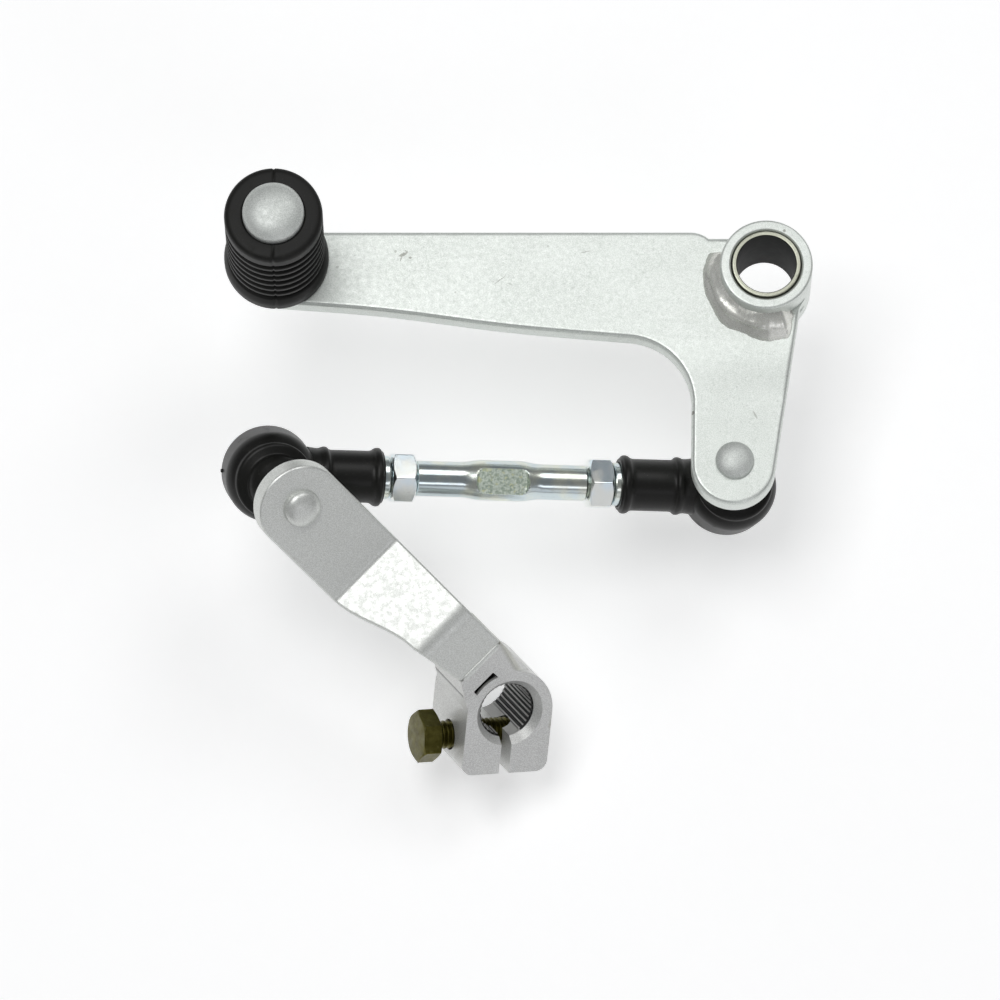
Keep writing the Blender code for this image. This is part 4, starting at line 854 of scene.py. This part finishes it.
def stud(thickness):
    """A ball stud: the ball at its origin, a collar under the plate and a domed rivet head above it."""
    r, neck, collar = BALL_RADIUS, STUD_NECK_RADIUS, STUD_COLLAR_RADIUS
    shank, head = STUD_SHANK_RADIUS, STUD_HEAD_RADIUS
    low = STUD_REACH - STUD_COLLAR_HEIGHT
    head_low = STUD_REACH + thickness
    flat = asin((BALL_FLAT - r) / r) * 180 / pi
    neck_deg = 90 - asin(neck / r) * 180 / pi
    profile = [(0, BALL_FLAT - r)] + arc((0, 0), r, flat, neck_deg, 24)
    profile += softened([(neck, low - (collar - neck)), (collar, low, 0.0004), (collar, STUD_REACH, 0.0002),
                         (shank, STUD_REACH), (shank, head_low), (head, head_low, 0.0002)])
    rim = button(head, head_low + GAP, STUD_HEAD_HEIGHT)
    profile += softened([(head, head_low), (*rim[0], 0.0003), rim[1]])[1:-1] + rim[1:]
    return turned(profile, 72)


def housing():
    """A ball joint's eye with its closing disc, and the threaded shank on its side."""
    eye = softened([(CAVITY_RADIUS + 0.0008, EYE_BOTTOM), (EYE_RADIUS, EYE_BOTTOM, 0.0009),
                    (EYE_RADIUS, EYE_TOP, 0.0006), (0.0056, EYE_TOP, 0.0003),
                    (CAVITY_RADIUS - 0.0008, 0.0030), (CAVITY_RADIUS, -0.0048)], 4, True)
    disc = CAVITY_RADIUS + 0.0006
    cap = softened([(0, EYE_BOTTOM), (disc, EYE_BOTTOM, 0.0003), (disc, -0.0053), (0, -0.0053)])
    shank = turned(softened([(0, CAVITY_RADIUS + 0.0008), (SHANK_RADIUS, CAVITY_RADIUS + 0.0008),
                             (SHANK_RADIUS, SHANK_LENGTH, 0.0005), (0, SHANK_LENGTH)]), 72)
    shank.transform(ALONG_ROD)
    return joined(turned(eye, 72), turned(cap, 72), shank)


def boot(tilt):
    """A rubber boot over the eye: two folds rise to a lip on the stud, and a sleeve runs along the shank."""
    shoulder = EYE_TOP + GAP
    valley = shoulder + BOOT_FOLD_HEIGHT
    lip_low = STUD_REACH - GAP - STUD_COLLAR_HEIGHT
    lip_top = lip_low + BOOT_LIP_HEIGHT
    lip_outer = BOOT_LIP_RADIUS + BOOT_LIP_WALL
    first, second = BOOT_FIRST_FOLD, BOOT_SECOND_FOLD
    outside = [(BOOT_OUTER, shoulder), (first, shoulder + 0.0006, 0.0003),
               (first, valley - 0.0002, 0.0006), (second - 0.0002, valley + 0.0003, 0.0004),
               (second, valley + BOOT_FOLD_HEIGHT - 0.0002, 0.0006), (lip_outer, lip_low + 0.0003, 0.0006),
               (lip_outer, lip_top - 0.0007, 0.0003), (lip_outer + 0.0003, lip_top - 0.0003, 0.0002),
               (lip_outer + 0.0003, lip_top, 0.0002), (BOOT_LIP_RADIUS - 0.0002, lip_top, 0.0002)]
    skin, around_eye = BOOT_SKIN, EYE_RADIUS + GAP
    inside = [(BOOT_LIP_RADIUS, lip_low), (second - skin, valley + 0.0010), (second - skin, valley - 0.0004),
              (first - skin, valley - skin), (EYE_RADIUS - 0.0004, shoulder), (around_eye, shoulder - 0.0006),
              (around_eye, EYE_BOTTOM + 0.0004), (EYE_RADIUS - 0.0004, EYE_BOTTOM - GAP),
              (CAVITY_RADIUS, EYE_BOTTOM - GAP), (CAVITY_RADIUS, BOOT_FLOOR, 0.0003)]
    low, high = BOOT_FLOOR_ROUND, BOOT_SHOULDER_ROUND
    crown = shoulder + 0.0004 - high * sin(pi / 4)
    wall = arc((BOOT_OUTER - low, BOOT_FLOOR + low), low, -88, 0, 12)
    wall += arc((BOOT_OUTER - high, crown), high, 0, 45, 10)
    line = inside + wall + outside[1:]
    bm = turned(softened(line, 6, True), 120)
    for vert in bm.verts:
        share = smooth_step((vert.co.z - shoulder) / (lip_low - shoulder))
        vert.co = Quaternion().slerp(tilt, share) @ vert.co
    r, bead = BOOT_SLEEVE_RADIUS, BOOT_BEAD
    mouth = SHANK_RADIUS + 0.0002
    end = BOOT_SLEEVE_END
    ridge = BOOT_INNER_BEAD
    sleeve_line = [(mouth, EYE_RADIUS), (r + 0.0004, EYE_RADIUS), (r + 0.0001, ridge - 2.2 * bead, 0.0009),
                   (r + bead * 0.9, ridge - bead * 0.7, 0.0005), (r + bead * 0.9, ridge + bead * 0.7, 0.0005),
                   (r - 0.0001, ridge + 1.5 * bead, 0.0008), (r - 0.0001, end - 4.2 * bead, 0.0008),
                   (r + bead, end - 2.9 * bead, 0.0005), (r + bead, end - 1.1 * bead, 0.0005),
                   (r, end - 0.6 * bead, 0.0004), (r - 0.0001, end, 0.0002), (mouth, end)]
    sleeve = turned(softened(sleeve_line, 5, True), 96)
    sleeve.transform(ALONG_ROD)
    nub = turned(softened([(0, -0.0004), (0.00045, -0.0004), (0.0004, 0.0004, 0.0002), (0, 0.00045)]), 24)
    nub.transform(move(-BOOT_OUTER, 0, -0.0018) @ turn(-90, "Y"))
    return joined(bm, sleeve, nub)


def hexagon(across_flats):
    return arc((0, 0), across_flats / (2 * cos(radians(30))), 0, 300, 5)


def upright(edge):
    return abs((edge.verts[0].co - edge.verts[1].co).normalized().z) > 0.9


def nut():
    corner = NUT_ACROSS_FLATS / (2 * cos(radians(30)))
    face = NUT_ACROSS_FLATS / 2 - 0.0001
    solid = rounded(extruded(hexagon(NUT_ACROSS_FLATS), NUT_START, NUT_END), 0.0002, 2, 50.0, upright)
    hole, mouth = NUT_HOLE_RADIUS, NUT_HOLE_RADIUS + 0.0004
    form = [(mouth, NUT_START), (face, NUT_START), (corner, NUT_START + NUT_CHAMFER),
            (corner, NUT_END - NUT_CHAMFER), (face, NUT_END), (mouth, NUT_END), (hole, NUT_END - 0.0004),
            (hole, NUT_START + 0.0004)]
    return carved(solid, [("INTERSECT", turned(form, 96)), ("BEVEL", 0.00008)])


def tie_rod():
    """The rod: its middle is swollen, and pressed to two flats with rounded shoulders."""
    half = ROD_CENTRES / 2
    run = ROD_SWELL_LENGTH / 2
    start = NUT_END + GAP
    thread_end = SHANK_LENGTH - 0.010
    stations = 60
    profile = [(0, thread_end), (ROD_THREAD_RADIUS, thread_end), (ROD_THREAD_RADIUS, start),
               (ROD_RADIUS - 0.0004, start), (ROD_RADIUS, start + 0.0004)]
    for i in range(stations + 1):
        z = half - run * 1.15 + 2.3 * run * i / stations
        swell = smooth_step((run * 1.15 - abs(z - half)) / (run * 0.62))
        profile.append((ROD_RADIUS + (ROD_SWELL_RADIUS - ROD_RADIUS) * swell, z))
    profile += [(r, 2 * half - z) for r, z in reversed(profile[:5])]
    bm = turned(profile, 96)
    pressed = bm.verts.layers.float.new("pressed")
    edge = ROD_FLATS_LENGTH / 2
    for vert in bm.verts:
        off = abs(vert.co.z - half)
        corner = edge - ROD_FLATS_SHOULDER * (vert.co.y / ROD_FLAT) ** 2
        share = smooth_step((off - corner) / ROD_FLATS_SHOULDER)
        limit = ROD_FLAT + (ROD_SWELL_RADIUS + 0.0002 - ROD_FLAT) * share
        if abs(vert.co.x) > limit:
            if off < corner + 0.0004:
                vert[pressed] = 1.0
            vert.co.x = limit if vert.co.x > 0 else -limit
    return bm


def make_rod_line():
    for name, place, node in (("near_housing", ROD_FRAME, "pedal_end"), ("far_housing", FAR_EYE, "arm_end")):
        finished(name, housing(), rod_zinc, "rod", place, [node + "_housing", node + "_cap"])
    up = Vector((0, 0, 1))
    lean = (turn(ROD_ROLL_DEG, "X") @ turn(ROD_RISE_DEG, "Y")).to_quaternion() @ up
    far_lean = turn(180, "Z") @ turn(FAR_EYE_TWIST_DEG - ARM_ROLL_DEG, "X") @ turn(-ARM_PITCH_DEG, "Y")
    far_lean = far_lean.to_quaternion() @ up
    for name, place, node, other, leaning in (("near_boot", ROD_FRAME, "pedal_end_boot", "pedal_seat", lean),
                                              ("far_boot", FAR_EYE, "arm_end_boot", "arm_seat", far_lean)):
        low, high = place @ Vector((0, 0, EYE_TOP)), place @ Vector((0, 0, STUD_REACH - STUD_COLLAR_HEIGHT))
        finished(name, boot(up.rotation_difference(leaning)), boot_rubber, "rod", place, [node], 42.0,
                 (other, low, high))
    for name, place, turn_deg, node in (
            ("near_nut", ROD_FRAME, NEAR_NUT_TURN_DEG, "pedal_end_nut"),
            ("far_nut", FAR_END @ turn(180, "Z"), FAR_NUT_TURN_DEG, "arm_end_nut")):
        finished(name, nut(), nut_zinc, "rod", place @ ALONG_ROD @ turn(turn_deg, "Z"), [node])
    finished("long_rod", tie_rod(), rod_zinc, "rod", ROD_FRAME @ ALONG_ROD @ turn(ROD_FLATS_TURN_DEG, "Z"),
             ["tie_rod"], 24.0)
    finished("near_stud", stud(PLATE_THICKNESS), rivet_paint, "pedal", NEAR_STUD, ["pedal_ball_stud"])
    finished("far_stud", stud(STRAP_THICKNESS), arm_paint, "arm", ARM_FRAME, ["arm_ball_stud"])


def strap_path():
    fold = radians(STRAP_FOLD_DEG)
    concave, convex = STRAP_FOLD_RADIUS, STRAP_FOLD_RADIUS + STRAP_THICKNESS
    back_low, back_high = concave * tan(fold / 2), convex * tan(fold / 2)
    slope = STRAP_FOLD_RISE / sin(fold) - back_low - back_high
    run = STRAP_FOLD_RISE / tan(fold)
    first = ARM_CENTRES - HUB_WEB_REACH - STRAP_END_FLAT - back_high - run - back_low
    return [(first, 0.0), (concave * fold, fold), (slope, 0.0), (convex * fold, -fold), (STRAP_END_FLAT, 0.0)]


def on_strap(distance):
    x, z, slope, left = 0.0, STRAP_TOP, 0.0, distance
    for length, bend in strap_path():
        step = min(left, length) if left > 0 else left
        if bend:
            radius = length / bend
            angle = slope + bend * step / length
            x += radius * (sin(angle) - sin(slope))
            z += radius * (cos(slope) - cos(angle))
            slope = angle
        else:
            x += step * cos(slope)
            z += step * sin(slope)
        left -= step
        if left <= 0:
            break
    return x, z, slope


def make_strap():
    half = STRAP_WIDTH / 2
    path = strap_path()
    total = sum(length for length, _ in path)
    first = path[0][0]
    second = first + path[1][0] + path[2][0]
    outline = arc((0, 0), half, 90, 270, 48)
    for i in range(17):
        share = i / 16
        width = STRAP_WIDTH + (STRAP_NARROW_WIDTH - STRAP_WIDTH) * smooth_step(share)
        outline.append((first + (second - first) * share, half - width))
    outline += [(total, half - STRAP_END_WIDTH), (total, half)]
    bm = rounded(extruded(outline, -STRAP_THICKNESS, 0), STRAP_EDGE_ROUND, 3)
    cuts = [first * 0.5]
    distance = 0.0
    for length, bend in path:
        pieces = 10 if bend else 1
        cuts += [distance + length * i / pieces for i in range(pieces + 1)]
        distance += length
    cut_across(bm, [cut for cut in cuts if 0 < cut < total], (1, 0, 0))
    for vert in bm.verts:
        x, z, slope = on_strap(vert.co.x)
        depth = vert.co.z
        vert.co.x = x - depth * sin(slope)
        vert.co.z = z + depth * cos(slope)
    finished("strap", bm, arm_paint, "arm", ARM_FRAME, ["shift_arm"], 20.0)


def hub_point(along_slit, to_head):
    angle = radians(HUB_SLIT_TURN_DEG)
    slit = Vector((cos(angle), sin(angle)))
    head = Vector((slit.y, -slit.x))
    return tuple(slit * along_slit + head * to_head)


def spline_outline():
    """The splined hole: slightly rounded teeth, with a plain stretch beside the slit."""
    points = []
    tip, root, near_root = SPLINE_TIP_RADIUS, SPLINE_ROOT_RADIUS, SPLINE_ROOT_RADIUS - 0.00006
    tooth = ((tip, 0.02), (tip, 0.26), (near_root, 0.46), (root, 0.56), (root, 0.74), (near_root, 0.84))
    plain_from, plain_to = HUB_SLIT_TURN_DEG, HUB_SLIT_TURN_DEG + SPLINE_PLAIN_DEG
    for i in range(SPLINE_TEETH):
        middle = (360 * (i + 0.3) / SPLINE_TEETH + 180) % 360 - 180
        plain = plain_from < middle < plain_to
        for radius, share in tooth:
            angle = 2 * pi * (i + share) / SPLINE_TEETH
            size = root if plain else radius
            points.append((size * cos(angle), size * sin(angle)))
    return points


def bolt_place():
    slit = Vector((*hub_point(1, 0), 0))
    head = Vector((*hub_point(0, 1), 0))
    axes = Matrix((head.cross(slit).cross(head), head.cross(slit), head)).transposed().to_4x4()
    height = HUB_FACE - HUB_LENGTH * BOLT_DEPTH_SHARE
    return Matrix.Translation(slit * BOLT_OFFSET + Vector((0, 0, height))) @ axes


def hub():
    """The clamp hub: a slit ring with two ears, and a web with a slot that meets the strap."""
    top, bottom = HUB_FACE, HUB_FACE - HUB_LENGTH
    end, side = HUB_EAR_REACH - HUB_CORNER_ROUND, HUB_RADIUS - HUB_CORNER_ROUND
    around = arc((0, 0), HUB_RADIUS, 90, 270, 48)
    around += arc((end, -side), HUB_CORNER_ROUND, -90, 0, 8) + arc((end, side), HUB_CORNER_ROUND, 0, 90, 8)
    ring = extruded([hub_point(*p) for p in around], bottom, top)
    inside = HUB_RADIUS - 0.0004
    edge = STRAP_WIDTH / 2
    web = extruded([(-HUB_WEB_REACH, -HUB_WEB_CORNER), hub_point(0, inside), (0, 0), (0, inside),
                    (-HUB_WEB_SHOULDER, edge), (-HUB_WEB_REACH, edge)], top - HUB_WEB_DEPTH, top)
    way, fall = radians(HUB_SLOPE_TURN_DEG), radians(HUB_SLOPE_FALL_DEG)
    outward = Vector((sin(way) * sin(fall), cos(way) * sin(fall), cos(fall)))
    keep_below(web, Vector((-HUB_WEB_REACH, edge - HUB_SLOPE_INSET, top)), outward)
    above, below = top + CUT_MARGIN, bottom - CUT_MARGIN
    mouth, tip = HUB_MOUTH_RADIUS, SPLINE_TIP_RADIUS
    deep = (mouth - tip) * HUB_MOUTH_DEEPER
    front = turned([(0, top - deep), (tip, top - deep), (mouth, top), (mouth, above), (0, above)])
    far_deep = bottom + mouth - tip
    back = turned([(0, below), (mouth, below), (mouth, bottom), (tip, far_deep), (0, far_deep)])
    half = HUB_SLIT_WIDTH / 2
    far = HUB_EAR_REACH + CUT_MARGIN
    corners = ((tip / 2, half), (far, half), (far, -half), (tip / 2, -half))
    slit = extruded([hub_point(*p) for p in corners], below, above)
    start, end, wide = BOLT_FAR_WALL - HUB_RADIUS, HUB_RADIUS + CUT_MARGIN, BOLT_RADIUS + GAP
    hole = turned([(0, start), (wide, start), (wide, end), (0, end)], 48)
    hole.transform(bolt_place())
    near = HUB_MOUTH_RADIUS + WEB_SLOT_WALL
    half_deg = 90 / pi * WEB_SLOT_LENGTH / near
    middle = 180 - 180 / pi * WEB_SLOT_SHIFT / near
    curve = arc((0, 0), near, middle - half_deg, middle + half_deg, 16)
    back_line = -near - WEB_SLOT_WIDTH
    outline = [(*p, 0) for p in curve] + [(back_line, curve[i][1], 0.0004) for i in (-1, 0)]
    slot = extruded(softened(outline, 3, True), top - WEB_SLOT_DEPTH, above)
    splines = extruded(spline_outline(), below, above)
    cuts = [("DIFFERENCE", cut) for cut in (splines, front, back, slit, hole, slot)]
    return carved(ring, [("UNION", web), ("BEVEL", HUB_EDGE_ROUND), *cuts])


def bolt():
    """The clamp bolt: a chamfered hexagon head with a washer face, and a rolled thread."""
    under = HUB_RADIUS + BOLT_UNSCREWED
    top = under + BOLT_HEAD_HEIGHT
    end = under - BOLT_LENGTH
    corner = BOLT_HEAD_ACROSS_FLATS / (2 * cos(radians(30)))
    face = BOLT_HEAD_ACROSS_FLATS / 2 - 0.0002
    solid = rounded(extruded(hexagon(BOLT_HEAD_ACROSS_FLATS), under, top), 0.0002, 2, 50.0, upright)
    form = turned([(0, under), (face, under), (corner, under + 0.0003), (corner, top - BOLT_HEAD_CHAMFER),
                   (face, top), (0, top)], 96)
    head = carved(solid, [("INTERSECT", form), ("BEVEL", 0.00016)])
    crest, root = BOLT_RADIUS, BOLT_RADIUS - BOLT_THREAD_DEPTH
    thread = ((root, 0.0), (crest, 0.42), (crest, 0.56), (root, 0.98))
    line = [(0, end), (root - 0.0002, end)]
    z = end + 0.0004
    while z < under - BOLT_PLAIN_NECK:
        line += [(radius, z + BOLT_PITCH * share) for radius, share in thread]
        z += BOLT_PITCH
    neck = crest - 0.0002
    line += [(neck, z + 0.0003), (neck, under - 0.0003), (crest + 0.0002, under), (0, under)]
    return joined(head, turned(line, 72))


def weld_run(section, level, ripple):
    """A straight weld across the arm, where the strap meets the hub; it is uneven, and may have ripples."""
    right, left = STRAP_WIDTH / 2 - 0.0006, STRAP_WIDTH / 2 - STRAP_END_WIDTH + 0.0006
    bm = extruded(section, left, right)
    cut_across(bm, [left + (right - left) * i / 60 for i in range(1, 60)], (0, 0, 1))
    for vert in bm.verts:
        ends = min(1.0, min(vert.co.z - left, right - vert.co.z) / 0.0012 + 0.35)
        uneven = UNEVEN_SHARE * noise.noise(Vector((vert.co.z * UNEVEN_RATE, 0, 3)))
        swell = ends * (1 + ripple * sin(vert.co.z * RIPPLE_RATE) + uneven)
        vert.co.x *= swell
        vert.co.y *= swell
    bm.transform(Matrix(((1, 0, 0, 0), (0, 0, 1, 0), (0, 1, 0, 0), (0, 0, 0, 1))))
    bm.transform(move(ARM_CENTRES - HUB_WEB_REACH, 0, level))
    return bm


def make_arm():
    make_strap()
    finished("hub", hub(), hub_paint, "arm", HUB_FRAME, ["clamp_hub"], 24.0)
    finished("bolt", bolt(), bolt_olive, "arm", HUB_FRAME @ bolt_place() @ turn(BOLT_TURN_DEG, "Z"),
             ["clamp_bolt"], 28.0)
    leg = ARM_WELD_LEG
    level = LOW_STRAP_TOP - STRAP_THICKNESS
    section = [(0.0003, 0.0003), (-leg, 0.0003)]
    for i in range(9):
        bulge = 0.12 * sin(pi * i / 8)
        section.append((-leg * (1 - i / 8 + bulge), -leg * (i / 8 + bulge)))
    section += [(0.0003, -leg)]
    under = weld_run(section, level, 0.05)
    ridge = [(0.00055 * cos(pi * i / 14), 0.00026 * sin(pi * i / 14)) for i in range(15)]
    ridge += [(-0.0004, -0.0010), (0.0004, -0.0010)]
    over = weld_run(ridge, HUB_FACE - 0.00016, 0.0)
    finished("strap_weld", joined(under, over), arm_paint, "arm", ARM_FRAME, ["arm_weld"], 60.0)


make_pivot()
make_plate()
make_welds()
make_peg()
make_rod_line()
make_arm()


def white_to_camera(strength, colour):
    """A background that looks white, and lights the scene more weakly than that."""
    world = bpy.data.worlds.new("studio")
    bpy.context.scene.world = world
    world.use_nodes = True
    tree = world.node_tree
    paths = tree.nodes.new("ShaderNodeLightPath")
    white = tree.nodes.new("ShaderNodeBackground")
    white.inputs["Color"].default_value = (1, 1, 1, 1)
    soft = tree.nodes["Background"]
    soft.inputs["Color"].default_value = (*colour, 1)
    soft.inputs["Strength"].default_value = strength
    mix = tree.nodes.new("ShaderNodeMixShader")
    for source, socket in ((paths.outputs["Is Camera Ray"], mix.inputs[0]), (soft.outputs[0], mix.inputs[1]),
                           (white.outputs[0], mix.inputs[2]),
                           (mix.outputs[0], tree.nodes["World Output"].inputs["Surface"])):
        tree.links.new(source, socket)


def soft_box(name, place, target, width, height, power, colour=(1, 1, 1)):
    data = bpy.data.lights.new(name, "AREA")
    data.shape = "RECTANGLE"
    data.size, data.size_y = width, height
    data.energy = power
    data.color = colour
    lamp = bpy.data.objects.new(name, data)
    lamp.location = place
    lamp.rotation_euler = (Vector(target) - Vector(place)).to_track_quat("-Z", "Y").to_euler()
    bpy.context.scene.collection.objects.link(lamp)


def make_floor():
    """A pale floor just under the lowest piece."""
    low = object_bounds()[0]
    bm = bmesh.new()
    bmesh.ops.create_grid(bm, x_segments=1, y_segments=1, size=1.5)
    bm.transform(move(-0.05, -0.01, low.z - 0.0002))
    floor = loose_object("floor", bm)
    pale = Finish("pale_floor")
    grain = pale.noise(240.0, 3.0)
    pale.set(Base_Color=pale.colour(grain, (0.93, 0.93, 0.93), (0.95, 0.95, 0.95)), Roughness=0.85,
             Specular_IOR_Level=0.1, Emission_Color=(1, 1, 1, 1), Emission_Strength=0.38)
    floor.data.materials.append(pale.data)


make_floor()
white_to_camera(0.22, (0.97, 0.985, 1.0))
MIDDLE = (-0.055, -0.012, 0.0)
soft_box("key", (-0.38, 0.08, 1.42), MIDDLE, 0.80, 0.60, 6.9)
soft_box("back", (0.42, 0.62, 1.20), MIDDLE, 0.60, 0.60, 3.0)
soft_box("front", (0.44, -0.98, 0.86), MIDDLE, 0.60, 0.22, 0.8, (0.96, 0.95, 1.0))
soft_box("side", (0.45, -1.05, 0.26), MIDDLE, 1.10, 0.40, 0.75, (0.97, 0.96, 1.0))

view = bpy.data.cameras.new("view")
view.lens = 342
view.sensor_width = 36
view.clip_end = 20
camera = bpy.data.objects.new("view", view)
camera.location = (-0.0561, -0.5990, 1.9280)
camera.rotation_euler = (radians(16), 0, 0)
bpy.context.scene.collection.objects.link(camera)
bpy.context.scene.camera = camera
bpy.context.scene.view_settings.view_transform = "Standard"
